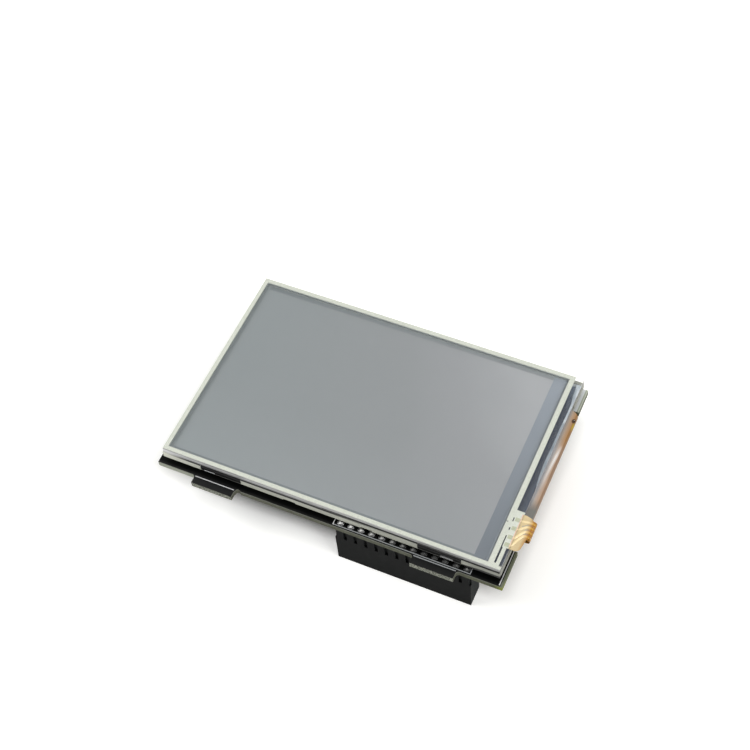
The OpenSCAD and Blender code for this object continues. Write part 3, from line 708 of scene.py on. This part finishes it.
# Painted shade: a dark ring round the small hole near the bend's far end darkens what shows through it.
hole_shade_ring = amber.sum(
    "ADD",
    amber.sum("POWER", amber.sum("SUBTRACT", over_bend, 85.72), 2.0),
    amber.sum("POWER", amber.product(amber.sum("SUBTRACT", along_bend, 44.1), 0.8), 2.0),
)
shade = amber.mix(amber.rise(hole_shade_ring, 0.3, 0.12), shade, (0.05, 0.018, 0.003))
shade = amber.mix(amber.along("Z", 1.5, 0.6), shade, (0.34, 0.17, 0.06))
shade = amber.mix(amber.under("Z", -0.9), shade, (0.50, 0.27, 0.10))
laminate = amber.ramp(amber.grain(3.0, 3.0), (0.3, grey(0.92)), (0.7, grey(1.0)))
shade = amber.mix(amber.product(amber.rise(lines, 0.2, 0.9), 0.12), shade, (0.36, 0.20, 0.10))
amber.set("Base Color", amber.times(shade, laminate))
turned = amber.rise(over_bend, 85.4, 85.75)
amber.set("Specular IOR Level", amber.blend(turned, 0.5, 0.1))
amber.set("Coat Weight", amber.blend(turned, 0.4, 0.0))
amber.set("Coat Roughness", 0.12)
amber.bump(amber.grain(2.4, 2.0), 0.05)
dress(amber, "panel_flex", "led_strip")

TAIL_BEND = 86.9


def along_tail(finish, on_glass, on_roll):
    """A colour of the tail that deepens where the film rolls over."""
    light = finish.ramp(
        finish.grain(1.2, 3.0), (0.3, tuple(c * 0.88 for c in on_glass)), (0.7, on_glass)
    )
    dark = finish.ramp(finish.grain(0.7, 3.0), (0.3, tuple(c * 0.82 for c in on_roll)), (0.7, on_roll))
    return finish.mix(finish.along("X", TAIL_BEND - 1.0, TAIL_BEND + 0.1), light, dark)


tail_film = Finish("tail_yellow", roughness=0.25)
tail_film.set("Base Color", along_tail(tail_film, (0.68, 0.53, 0.29), (0.42, 0.175, 0.004)))
tail_film.set("Coat Weight", 0.25)
tail_film.set("Coat Roughness", 0.1)
tail_film.bump(tail_film.grain(1.1, 2.0), 0.03)
dress(tail_film, "touch_tail")

# %% [markdown]
# ## Parts on the back
# The chips are moulded in a matt black resin. The small resistors and capacitors are one solid each
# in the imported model, so their metal caps are told from their bodies face by face: a face whose
# middle lies near either end of its own part takes the second slot, which holds tin.

# %% Chips
resin_black = Finish("chip_resin", roughness=0.55)
resin_black.set(
    "Base Color", resin_black.ramp(resin_black.grain(0.7), (0.3, grey(0.014)), (0.7, grey(0.022)))
)
resin_black.bump(resin_black.grain(0.07, 4.0), 0.008)
dress(
    resin_black,
    "touch_controller",
    "shift_registers",
    "counter_chip",
    "inverter_chip",
    "regulator",
    soften=0.03,
)


# %% Caps of the small parts
def islands(name):
    """The separate solids of a node: for each, its corner points in board measures, and its faces."""
    mesh = nodes[name].data
    spots = {}
    label = []
    for vertex in mesh.vertices:
        key = tuple(round(c * 1e6) for c in vertex.co)
        label.append(spots.setdefault(key, len(spots)))
    parent = list(range(len(spots)))

    def root(i):
        while parent[i] != i:
            parent[i] = parent[parent[i]]
            i = parent[i]
        return i

    for face in mesh.polygons:
        first = root(label[face.vertices[0]])
        for vertex in face.vertices[1:]:
            parent[root(label[vertex])] = first
    groups = {}
    for face in mesh.polygons:
        groups.setdefault(root(label[face.vertices[0]]), []).append(face.index)
    found = []
    for faces in groups.values():
        points = [(mesh.vertices[v].co - corner) / MM for f in faces for v in mesh.polygons[f].vertices]
        low = Vector([min(p[i] for p in points) for i in range(3)])
        high = Vector([max(p[i] for p in points) for i in range(3)])
        found.append((low, high, faces))
    return sorted(found, key=lambda item: (round(item[0].x, 2), round(item[0].y, 2)))


CAP = 0.3
for name, low_colour, high_colour in (
    ("resistors", grey(0.02), grey(0.035)),
    ("capacitors", (0.30, 0.21, 0.13), (0.42, 0.31, 0.20)),
):
    body = Finish(name + "_body", roughness=0.4)
    body.set("Base Color", body.ramp(body.grain(0.3), (0.3, low_colour), (0.7, high_colour)))
    body.bump(body.grain(0.1), 0.006)
    dress(body, name)
    mesh = nodes[name].data
    mesh.materials.append(tin.material)
    for low, high, faces in islands(name):
        for face in faces:
            x = (mesh.polygons[face].center.x - corner.x) / MM
            if min(x - low.x, high.x - x) < CAP + 0.005:
                mesh.polygons[face].material_index = 1
    print(name, len(islands(name)), "parts with tinned caps")

# %% [markdown]
# ## Building thin pieces
# The pieces below are all thin shapes on a surface. `slab` raises an outline into a flat solid, and
# `ribbon` lays a strip of a given width along a path. The ribbon asks a `surface` function where a
# point lies, so the same strip can run flat on the board or round the fold of a flex.


# %% Slabs and ribbons
def slab(outline, low, high):
    count = len(outline)
    points = [(x, y, low) for x, y in outline] + [(x, y, high) for x, y in outline]
    faces = [list(range(count))[::-1], list(range(count, 2 * count))]
    faces += [[i, (i + 1) % count, count + (i + 1) % count, count + i] for i in range(count)]
    return points, faces


def rectangle(x0, y0, x1, y1):
    return [(x0, y0), (x1, y0), (x1, y1), (x0, y1)]


def disc(x, y, radius, sides=16):
    return [
        (x + radius * math.cos(2 * math.pi * i / sides), y + radius * math.sin(2 * math.pi * i / sides))
        for i in range(sides)
    ]


def flat(u, v, lift):
    return u, v, lift


def ribbon(path, width, low, high, surface=flat):
    """A strip along a path of (u, v) points, from low to high above the surface."""
    path = [Vector(p) for p in path]
    sides = []
    for i, p in enumerate(path):
        before = (p - path[i - 1]).normalized() if i else None
        after = (path[i + 1] - p).normalized() if i + 1 < len(path) else None
        way = ((before or after) + (after or before)).normalized()
        across = Vector((-way.y, way.x))
        stretch = 1 / max(0.5, abs(across.dot(Vector((-(after or before).y, (after or before).x)))))
        sides.append((p + across * width / 2 * stretch, p - across * width / 2 * stretch))
    points = []
    for left, right in sides:
        points += [
            surface(*left, low), surface(*right, low), surface(*right, high), surface(*left, high)
        ]
    faces = [[0, 1, 2, 3], [len(points) - 1, len(points) - 2, len(points) - 3, len(points) - 4]]
    for i in range(len(path) - 1):
        a, b = 4 * i, 4 * i + 4
        faces += [[a + k, b + k, b + (k + 1) % 4, a + (k + 1) % 4] for k in range(4)]
    return points, faces


def piece(name, finish, shapes, smooth=False):
    """One object from many small shapes, riding with the module."""
    points, faces = [], []
    for more_points, more_faces in shapes:
        faces += [[i + len(points) for i in face] for face in more_faces]
        points += more_points
    mesh = bpy.data.meshes.new(name)
    mesh.from_pydata([at(*p) for p in points], [], faces)
    mesh.materials.append(finish.material)
    made = bpy.data.objects.new(name, mesh)
    bpy.context.scene.collection.objects.link(made)
    if smooth:
        mesh.shade_smooth()
    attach(made, "root")
    print(name, len(shapes), "shapes,", len(mesh.polygons), "faces")
    return made


# %% [markdown]
# ## Foam at the glass corner
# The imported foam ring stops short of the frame's corner, and light would shine through the slit
# there. A little plug of the same foam closes it.

# %% Foam plug
ring = measured("touch_adhesive")
plug = rectangle(ring[1].x, ring[0].y, frame_box[1].x - 0.15, ring[0].y + 0.6)
piece("corner_plug", tape, [slab(plug, ring[0].z + 0.01, ring[1].z - 0.01)])

# %% [markdown]
# ## Print on the front
# The board's white print shows along the socket edge: a frame round the row of joints, a line at the root of
# the first tab, a line at the second, where the board has a double one, and a line up the right-hand edge.
# It is a thick ink that stands a few hundredths of a millimetre proud, so it is made as thin slabs.

# %% Front print
print_white = Finish("print_white", roughness=0.6)
white = print_white.ramp(print_white.grain(0.4, 4.0), (0.3, grey(0.52)), (0.6, (0.72, 0.73, 0.73)))
front = print_white.product(print_white.over("X", 45), print_white.under("X", 78))
print_white.set(
    "Base Color",
    print_white.mix(
        print_white.product(front, print_white.over("Z", -0.5)), white, (0.33, 0.345, 0.35)
    ),
)
socket = measured("socket_housing")
LINE, PRINT_TOP = 0.19, 0.03
frame_left, frame_right = socket[0].x - 0.35, socket[1].x - 0.1
frame_near, frame_far = 0.3, 5.3
front_lines = [
    rectangle(frame_left, frame_near, frame_right, frame_near + LINE),
    rectangle(frame_left, frame_near + LINE, frame_left + LINE, frame_far),
    rectangle(frame_right - LINE, frame_near + LINE, frame_right, frame_far),
    rectangle(frame_left + LINE, frame_far - LINE, frame_right - LINE, frame_far),
    rectangle(9.95, -0.3, 19.95, -0.1),
    rectangle(64.5, -0.22, 74.6, 0.0),
    rectangle(84.5, 0.25, 84.72, 48.5),
]
piece("front_print", print_white, [slab(line, 0.0, PRINT_TOP) for line in front_lines])

# %% [markdown]
# ## The tail's traces
# The touch panel's tail carries four broad traces. They leave four terminals on the film, sweep
# together into the narrow strip, and run over the fold to the back. The strip is a bent sheet, so
# the traces are drawn on its unrolled length and carried round the fold by a surface function.


# %% Folded surfaces
def folded(x, z, legs):
    """A surface that sets off from x, z along +X. A leg is a length and the angle it bends down by."""
    placed, heading = [], 0.0
    for length, bend in legs:
        placed.append((length, bend, x, z, heading))
        x, z = travel(length, bend, x, z, heading, length)
        heading -= bend

    def surface(u, v, lift):
        s = u - placed[0][2]
        for length, bend, x, z, heading in placed[:-1]:
            if s <= length:
                break
            s -= length
        else:
            length, bend, x, z, heading = placed[-1]
        x, z = travel(length, bend, x, z, heading, s)
        turned = heading - bend * s / length
        return x - lift * math.sin(turned), v, z + lift * math.cos(turned)

    return surface


def travel(length, bend, x, z, heading, s):
    """Where one ends after going s along a leg."""
    if bend == 0:
        return x + s * math.cos(heading), z + s * math.sin(heading)
    radius = length / bend
    turned = heading - bend * s / length
    return x + radius * (math.sin(heading) - math.sin(turned)), z - radius * (
        math.cos(heading) - math.cos(turned)
    )


tail = measured("touch_tail")
TAIL_START, FILM = 82.7, 0.1
ROLL, DROP_X, UNDER_RADIUS = 0.8, 84.5, 1.3
turn_x, turn_z = DROP_X + ROLL, tail[1].z - 2 * ROLL + FILM - ROLL
drop = turn_z - (tail[0].z + UNDER_RADIUS)
tail_legs = [
    (TAIL_BEND - TAIL_START, 0),
    (math.pi * ROLL, math.pi),
    (TAIL_BEND - turn_x, 0),
    (math.pi / 2 * (ROLL - FILM), -math.pi / 2),
    (drop, 0),
    (math.pi / 2 * UNDER_RADIUS, math.pi / 2),
    (DROP_X + FILM - UNDER_RADIUS - tail[0].x, 0),
]
tail_surface = folded(TAIL_START, tail[1].z, tail_legs)
tail_end = TAIL_START + sum(length for length, bend in tail_legs) - 0.4
print("the tail is", round(tail_end - TAIL_START, 1), "mm long, unrolled")


# %% Trace paths
def smooth_step(t):
    t = min(1, max(0, t))
    return t * t * (3 - 2 * t)


def swept(start, end, sweep_from, sweep_to, far, step=0.12):
    """A path that slides from one Y to another over a stretch, and then runs straight on."""
    count = int((far - sweep_from) / step)
    return [
        (
            sweep_from + i * step,
            start + (end - start) * smooth_step((i * step) / (sweep_to - sweep_from)),
        )
        for i in range(count + 1)
    ]


trace_gold_and_sheen = Finish("trace_gold_and_sheen", roughness=0.2)
# Painted highlight: on the flat part the traces are a very pale gold, partly their own colour and partly a
# painted highlight.
trace_gold_and_sheen.set("Base Color", along_tail(trace_gold_and_sheen, (1.0, 0.80, 0.44), (0.60, 0.29, 0.01)))
trace_gold_and_sheen.set("Coat Weight", 0.6)
trace_gold_and_sheen.set("Coat Roughness", 0.08)
TERMINALS = (7.6, 9.6, 11.9, 14.2)
LANES = (10.95, 12.1, 13.3, 14.45)
FILM_EDGE = 84.05
traces = [
    ribbon(swept(terminal, lane, FILM_EDGE, FILM_EDGE + 2.2, tail_end), 0.62, 0.0, 0.015, tail_surface)
    for terminal, lane in zip(TERMINALS, LANES)
]
piece("tail_traces", trace_gold_and_sheen, traces, smooth=True)

# %% [markdown]
# Between the traces the film is darker, and the tail has a small dark hole near its fold. Thin
# bands of a deeper orange give the folded part its striped look.

# %% Bands between the traces
band_orange = Finish("tail_orange", roughness=0.25)
band_orange.set("Base Color", along_tail(band_orange, (0.50, 0.44, 0.33), (0.46, 0.19, 0.03)))
band_orange.set("Coat Weight", 0.4)
bands = [
    ribbon(
        swept(
            (TERMINALS[i] + TERMINALS[i + 1]) / 2,
            (LANES[i] + LANES[i + 1]) / 2,
            FILM_EDGE + 0.8,
            FILM_EDGE + 2.2,
            tail_end,
        ),
        0.3,
        0.0,
        0.01,
        tail_surface,
    )
    for i in range(3)
]
piece("tail_bands", band_orange, bands, smooth=True)

# %% [markdown]
# ## Terminals on the film
# Where the tail meets the touch panel, its bare end is pressed on to silver terminals. Seen through
# the film that zone is cream like the border, with four dull green pads, and a thin pink line
# marks where the amber film begins.

# %% Terminal zone
film_box = measured("touch_film")
UNDER_FILM = film_box[0].z
piece(
    "terminal_print",
    ink,
    [slab(rectangle(82.66, tail[0].y - 0.02, FILM_EDGE, 15.95), UNDER_FILM, UNDER_FILM + 0.012)],
)
pad_green = Finish("terminal_green", roughness=0.5)
pad_green.set(
    "Base Color",
    pad_green.ramp(pad_green.grain(0.4), (0.3, (0.42, 0.45, 0.30)), (0.7, (0.52, 0.54, 0.40))),
)
piece(
    "terminal_pads",
    pad_green,
    [
        slab(rectangle(82.9, y - 0.5, FILM_EDGE - 0.05, y + 0.5), UNDER_FILM, UNDER_FILM + 0.02)
        for y in TERMINALS
    ],
)
pink = Finish("bond_line_pink", roughness=0.4)
pink.set("Base Color", pink.ramp(pink.grain(0.5), (0.3, (0.78, 0.46, 0.34)), (0.7, (0.86, 0.62, 0.50))))
piece(
    "bond_line",
    pink,
    [
        slab(
            rectangle(FILM_EDGE - 0.05, tail[0].y + 0.5, FILM_EDGE + 0.1, 15.9),
            UNDER_FILM,
            UNDER_FILM + 0.03,
        )
    ],
)

# %% [markdown]
# ## Glue along the glass ledge
# A clear glue seals the bond of the wide flex. It dries milky, with a wavy edge over the dark tape, and is
# thickest at the far end. It is one sheet with a wavy side, lying just under the touch panel's glass.

# %% Glue
glue = Finish("glue_milky", roughness=0.2)
milk = glue.grain(1.4, 4.0, (1, 3, 1))
far_part = glue.along("Y", 42, 43)
milk_low = glue.mix(far_part, (0.20, 0.24, 0.30), (0.34, 0.40, 0.48))
milk_high = glue.mix(far_part, (0.38, 0.43, 0.50), (0.74, 0.80, 0.87))
glue.set("Base Color", glue.mix(glue.rise(milk, 0.35, 0.65), milk_low, milk_high))
glue.set("Alpha", 0.9)
glue_edge = [
    (84.3, 16.9), (84.28, 18.7), (84.18, 20.7), (84.14, 22.7), (84.05, 23.8),
    (83.84, 24.7), (83.7, 26.2), (83.6, 27.7), (83.46, 30.7), (83.5, 33.7),
    (83.58, 36.7), (83.56, 39.7), (83.6, 42.0), (83.68, 44.0), (83.7, 46.0),
    (83.66, 48.0), (83.45, 49.3), (83.26, 50.2), (83.22, 51.7), (83.0, 53.3),
    (82.95, 53.6),
]
glass_bottom = measured("touch_glass")[0].z
glass_right = measured("touch_glass")[1].x
piece(
    "ledge_glue",
    glue,
    [
        slab(
            [(glass_right - 0.02, 16.9), (glass_right - 0.02, 53.6)] + glue_edge[::-1],
            glass_bottom - 0.12,
            glass_bottom - 0.02,
        )
    ],
)

# %% [markdown]
# ## Solder on the back
# Each chip lead stands on a tinned pad a little longer than its foot, and each small part has a
# fillet of solder at both ends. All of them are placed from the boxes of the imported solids, so they
# follow if those move.

# %% Pads and fillets
pads = []
for name in ("chip_leads", "regulator_leads"):
    for low, high, faces in islands(name):
        lengthwise = high.x - low.x < high.y - low.y
        out_x, out_y = (0.06, 0.22) if lengthwise else (0.22, 0.06)
        pad = rectangle(low.x - out_x, low.y - out_y, high.x + out_x, high.y + out_y)
        pads.append(slab(pad, BOARD_BACK - 0.03, BOARD_BACK))
print(len(pads), "lead pads")
for name in ("resistors", "capacitors"):
    for low, high, faces in islands(name):
        rise = 0.6 * (high.z - low.z)
        for x, out in ((low.x, -0.4), (high.x, 0.4)):
            y0, y1 = low.y - 0.04, high.y + 0.04
            points = [
                (x, y0, BOARD_BACK),
                (x, y1, BOARD_BACK),
                (x + out, y1, BOARD_BACK),
                (x + out, y0, BOARD_BACK),
                (x, y0 + 0.1, BOARD_BACK - rise),
                (x, y1 - 0.1, BOARD_BACK - rise),
                (x + out * 0.9, y1 - 0.08, BOARD_BACK - 0.05),
                (x + out * 0.9, y0 + 0.08, BOARD_BACK - 0.05),
            ]
            pads.append(
                (
                    points,
                    [
                        [0, 1, 2, 3],
                        [4, 7, 6, 5],
                        [0, 4, 5, 1],
                        [2, 6, 7, 3],
                        [0, 3, 7, 4],
                        [1, 5, 6, 2],
                    ],
                ),
            )
piece("back_solder", tin, pads)

# %% [markdown]
# ## Traces under the mask
# Copper under the black mask shows as lines that stand very slightly proud. Each chip lead sends one
# out to a small ringed hole, and a bus of long ones runs from the registers to where the wide flex
# is soldered. Corners are cut at 45 degrees, as board makers draw them.

# %% Buried traces
buried = Finish("mask_over_copper", roughness=0.3)
buried.set(
    "Base Color",
    buried.ramp(buried.grain(1.5), (0.3, (0.016, 0.018, 0.0175)), (0.7, (0.023, 0.026, 0.025))),
)
LEAD_PITCH = 0.65
TRACE_LOW, TRACE_HIGH = BOARD_BACK - 0.022, BOARD_BACK - 0.001
routes, holes = [], []
chips = [
    item[:2]
    for name in ("shift_registers", "counter_chip", "inverter_chip", "touch_controller") for item in islands(
        name
    )
]
for low, high, faces in islands("chip_leads"):
    middle = (low + high) / 2
    chip = min(chips, key=lambda c: ((c[0] + c[1]) / 2 - middle).length)
    away = middle - (chip[0] + chip[1]) / 2
    if high.x - low.x < high.y - low.y:
        out, side, place, number = Vector((0, math.copysign(1, away.y))), Vector((1, 0)), middle.x, round(
            middle.x / LEAD_PITCH
        )
    else:
        out, side, place, number = Vector((math.copysign(1, away.x), 0)), Vector((0, 1)), middle.y, round(
            middle.y / LEAD_PITCH
        )
    start = Vector((middle.x, middle.y)) + out * 0.7
    first = start + out * (0.5 + 0.35 * (number % 3))
    second = first + (out + side * (0.5 if number % 2 else -0.5)) * 0.55
    routes.append(([tuple(start), tuple(first), tuple(second)], 0.2))
    holes.append(tuple(second))
flex = measured("panel_flex")
for lane in range(14):
    y0, y1 = 21.4 + 0.55 * lane, 23.2 + 1.25 * lane
    x0, turn = 24.0 + 1.9 * lane, 60.0 + 0.5 * abs(lane - 4)
    routes.append(
        (
            [
                (x0, 20.6),
                (x0, y0 - 0.6),
                (x0 + 0.6, y0),
                (turn, y0),
                (turn + abs(y1 - y0), y1),
                (flex[0].x + 0.4, y1),
            ],
            0.22,
        ),
    )
shapes = [ribbon(path, width, TRACE_LOW, TRACE_HIGH) for path, width in routes]
shapes += [slab(disc(x, y, 0.32), TRACE_LOW, TRACE_HIGH) for x, y in holes]
piece("back_traces", buried, shapes)
piece("back_holes", tin, [slab(disc(x, y, 0.16, 12), BOARD_BACK - 0.026, BOARD_BACK) for x, y in holes])

# %% [markdown]
# ## Print on the back
# The white print on the back frames the socket and the chips, with a dot at each chip's first lead
# and short bars beside the small parts. It carries no words.

# %% Back print
def outline_bars(x0, y0, x1, y1, line=0.16):
    return [
        rectangle(x0, y0, x1, y0 + line),
        rectangle(x0, y1 - line, x1, y1),
        rectangle(x0, y0 + line, x0 + line, y1 - line),
        rectangle(x1 - line, y0 + line, x1, y1 - line),
    ]


bars = outline_bars(socket[0].x - 0.35, socket[0].y - 0.1, socket[1].x + 0.35, socket[1].y + 0.35, 0.2)
dots = []
for low, high in chips:
    bars += [
        rectangle(low.x - 0.5, low.y + 0.3, low.x - 0.34, high.y - 0.3),
        rectangle(high.x + 0.34, low.y + 0.3, high.x + 0.5, high.y - 0.3),
    ]
    dots.append(disc(low.x - 0.95, low.y + 0.2, 0.22))
for name in ("resistors", "capacitors"):
    for low, high, faces in islands(name):
        bars += [
            rectangle(low.x + 0.3, low.y - 0.4, high.x - 0.3, low.y - 0.27),
            rectangle(low.x + 0.3, high.y + 0.27, high.x - 0.3, high.y + 0.4),
        ]
piece("back_print", print_white, [slab(bar, BOARD_BACK - 0.025, BOARD_BACK) for bar in bars + dots])

# %% [markdown]
# ## Flex joints on the back
# The wide flex ends in a comb of soldered fingers, half a millimetre apart, and the tail in four
# broad ones. They lie on the flexes' outer side, where a hot bar pressed them down.

# %% Soldered fingers
FINGER_PITCH, FINGERS = 0.5, 40
flex_middle = (flex[0].y + flex[1].y) / 2
first_finger = flex_middle - (FINGERS - 1) / 2 * FINGER_PITCH
fingers = []
for i in range(FINGERS):
    y = first_finger + i * FINGER_PITCH
    finger = rectangle(flex[0].x + 0.1, y - 0.13, flex[0].x + 1.9, y + 0.13)
    fingers.append(slab(finger, flex[0].z - 0.03, flex[0].z))
fingers += [
    slab(
        rectangle(tail[0].x + 0.2, lane - 0.4, tail[0].x + 2.2, lane + 0.4), tail[0].z - 0.04, tail[0].z
    )
    for lane in LANES
]
piece("flex_solder", tin, fingers)

# %% [markdown]
# ## Floor, daylight and lamps
# The floor is white paper. Its shadow has to stay, but the paper itself should fall off into a white ground,
# so the camera sees a touch of extra white that lights nothing.
# The sky is brightest overhead and behind, and two soft lamps hang high to the left and the right, a little
# to the front, so that the shadow stays small and close under the board. Near the board the extra white is
# held back, and by its right-hand edge the paper is painted darker, a painted shadow.

# %% Floor
floor_mesh = bpy.data.meshes.new("floor")
floor_mesh.from_pydata([(-3, -3, 0), (3, -3, 0), (3, 3, 0), (-3, 3, 0)], [], [[0, 1, 2, 3]])
floor = bpy.data.objects.new("floor", floor_mesh)
bpy.context.scene.collection.objects.link(floor)
floor.location.z = cad_box[0].z
paper = Finish("floor_paper", roughness=0.9, specular=0.1)
sheet = paper.ramp(paper.grain(40.0), (0.3, (0.88, 0.88, 0.85)), (0.7, (0.90, 0.90, 0.87)))
# Painted shadow: the paper is darker near the board's right-hand edge.
painted_shadow = paper.product(paper.along("X", board[1].x + 1, board[1].x - 6), paper.along("X", 58, 74))
painted_shadow = paper.product(painted_shadow, paper.product(paper.along("Y", 68, 22), paper.along("Y", 6, 13)))
paper.set("Base Color", paper.mix(painted_shadow, sheet, (0.51, 0.51, 0.50)))
seen = paper.tree.nodes.new("ShaderNodeLightPath")
paper.set("Emission Color", (1.0, 1.0, 1.0, 1.0))
# Painted light: the camera's extra white is held back under and near the board, so the shadow shows only
# there.
kept_shadow_zone = paper.product(paper.along("X", -11, -3), paper.along("X", board[1].x + 1, board[1].x - 6))
kept_shadow_zone = paper.product(kept_shadow_zone, paper.product(paper.along("Y", 3, 6.5), paper.along("Y", 62, 56)))
paper.set(
    "Emission Strength", paper.product(seen.outputs["Is Camera Ray"], paper.blend(kept_shadow_zone, 0.4, 0.0))
)
floor_mesh.materials.append(paper.material)
print("floor at", round(floor.location.z * 1000, 2), "mm")

# %% Sky
world = bpy.data.worlds.new("soft_sky")
bpy.context.scene.world = world
world.use_nodes = True
sky = world.node_tree
lit_sky = sky.nodes["Background"]
lit_sky.inputs["Color"].default_value = (1, 1, 1, 1)
way = sky.nodes.new("ShaderNodeTexCoord")
behind = sky.nodes.new("ShaderNodeVectorMath")
behind.operation = "DOT_PRODUCT"
sky.links.new(way.outputs["Generated"], behind.inputs[0])
behind.inputs[1].default_value = (-0.15, 0.55, 0.85)
fade = sky.nodes.new("ShaderNodeMapRange")
sky.links.new(behind.outputs["Value"], fade.inputs["Value"])
for socket, value in (("From Min", -0.1), ("From Max", 1.0), ("To Min", 0.08), ("To Max", 0.95)):
    fade.inputs[socket].default_value = value
sky.links.new(fade.outputs["Result"], lit_sky.inputs["Strength"])
white_sky = sky.nodes.new("ShaderNodeBackground")
white_sky.inputs["Color"].default_value = (1, 1, 1, 1)
white_sky.inputs["Strength"].default_value = 1.0
rays = sky.nodes.new("ShaderNodeLightPath")
choice = sky.nodes.new("ShaderNodeMixShader")
sky.links.new(rays.outputs["Is Camera Ray"], choice.inputs[0])
sky.links.new(lit_sky.outputs[0], choice.inputs[1])
sky.links.new(white_sky.outputs[0], choice.inputs[2])
sky.links.new(choice.outputs[0], sky.nodes["World Output"].inputs["Surface"])


# %% Lamps
def lamp(name, place, watts, size):
    data = bpy.data.lights.new(name, "AREA")
    data.energy = watts
    data.size = size
    made = bpy.data.objects.new(name, data)
    bpy.context.scene.collection.objects.link(made)
    made.location = place
    made.rotation_mode = "QUATERNION"
    made.rotation_quaternion = (aim - Vector(place)).to_track_quat("-Z", "Y")
    print(name, watts, "W", size, "m")


lamp("key_lamp", (-0.75, -0.22, 1.05), 6.5, 0.6)
lamp("side_lamp", (0.85, -0.22, 1.0), 5.8, 0.6)
bpy.context.scene.view_settings.view_transform = "Standard"
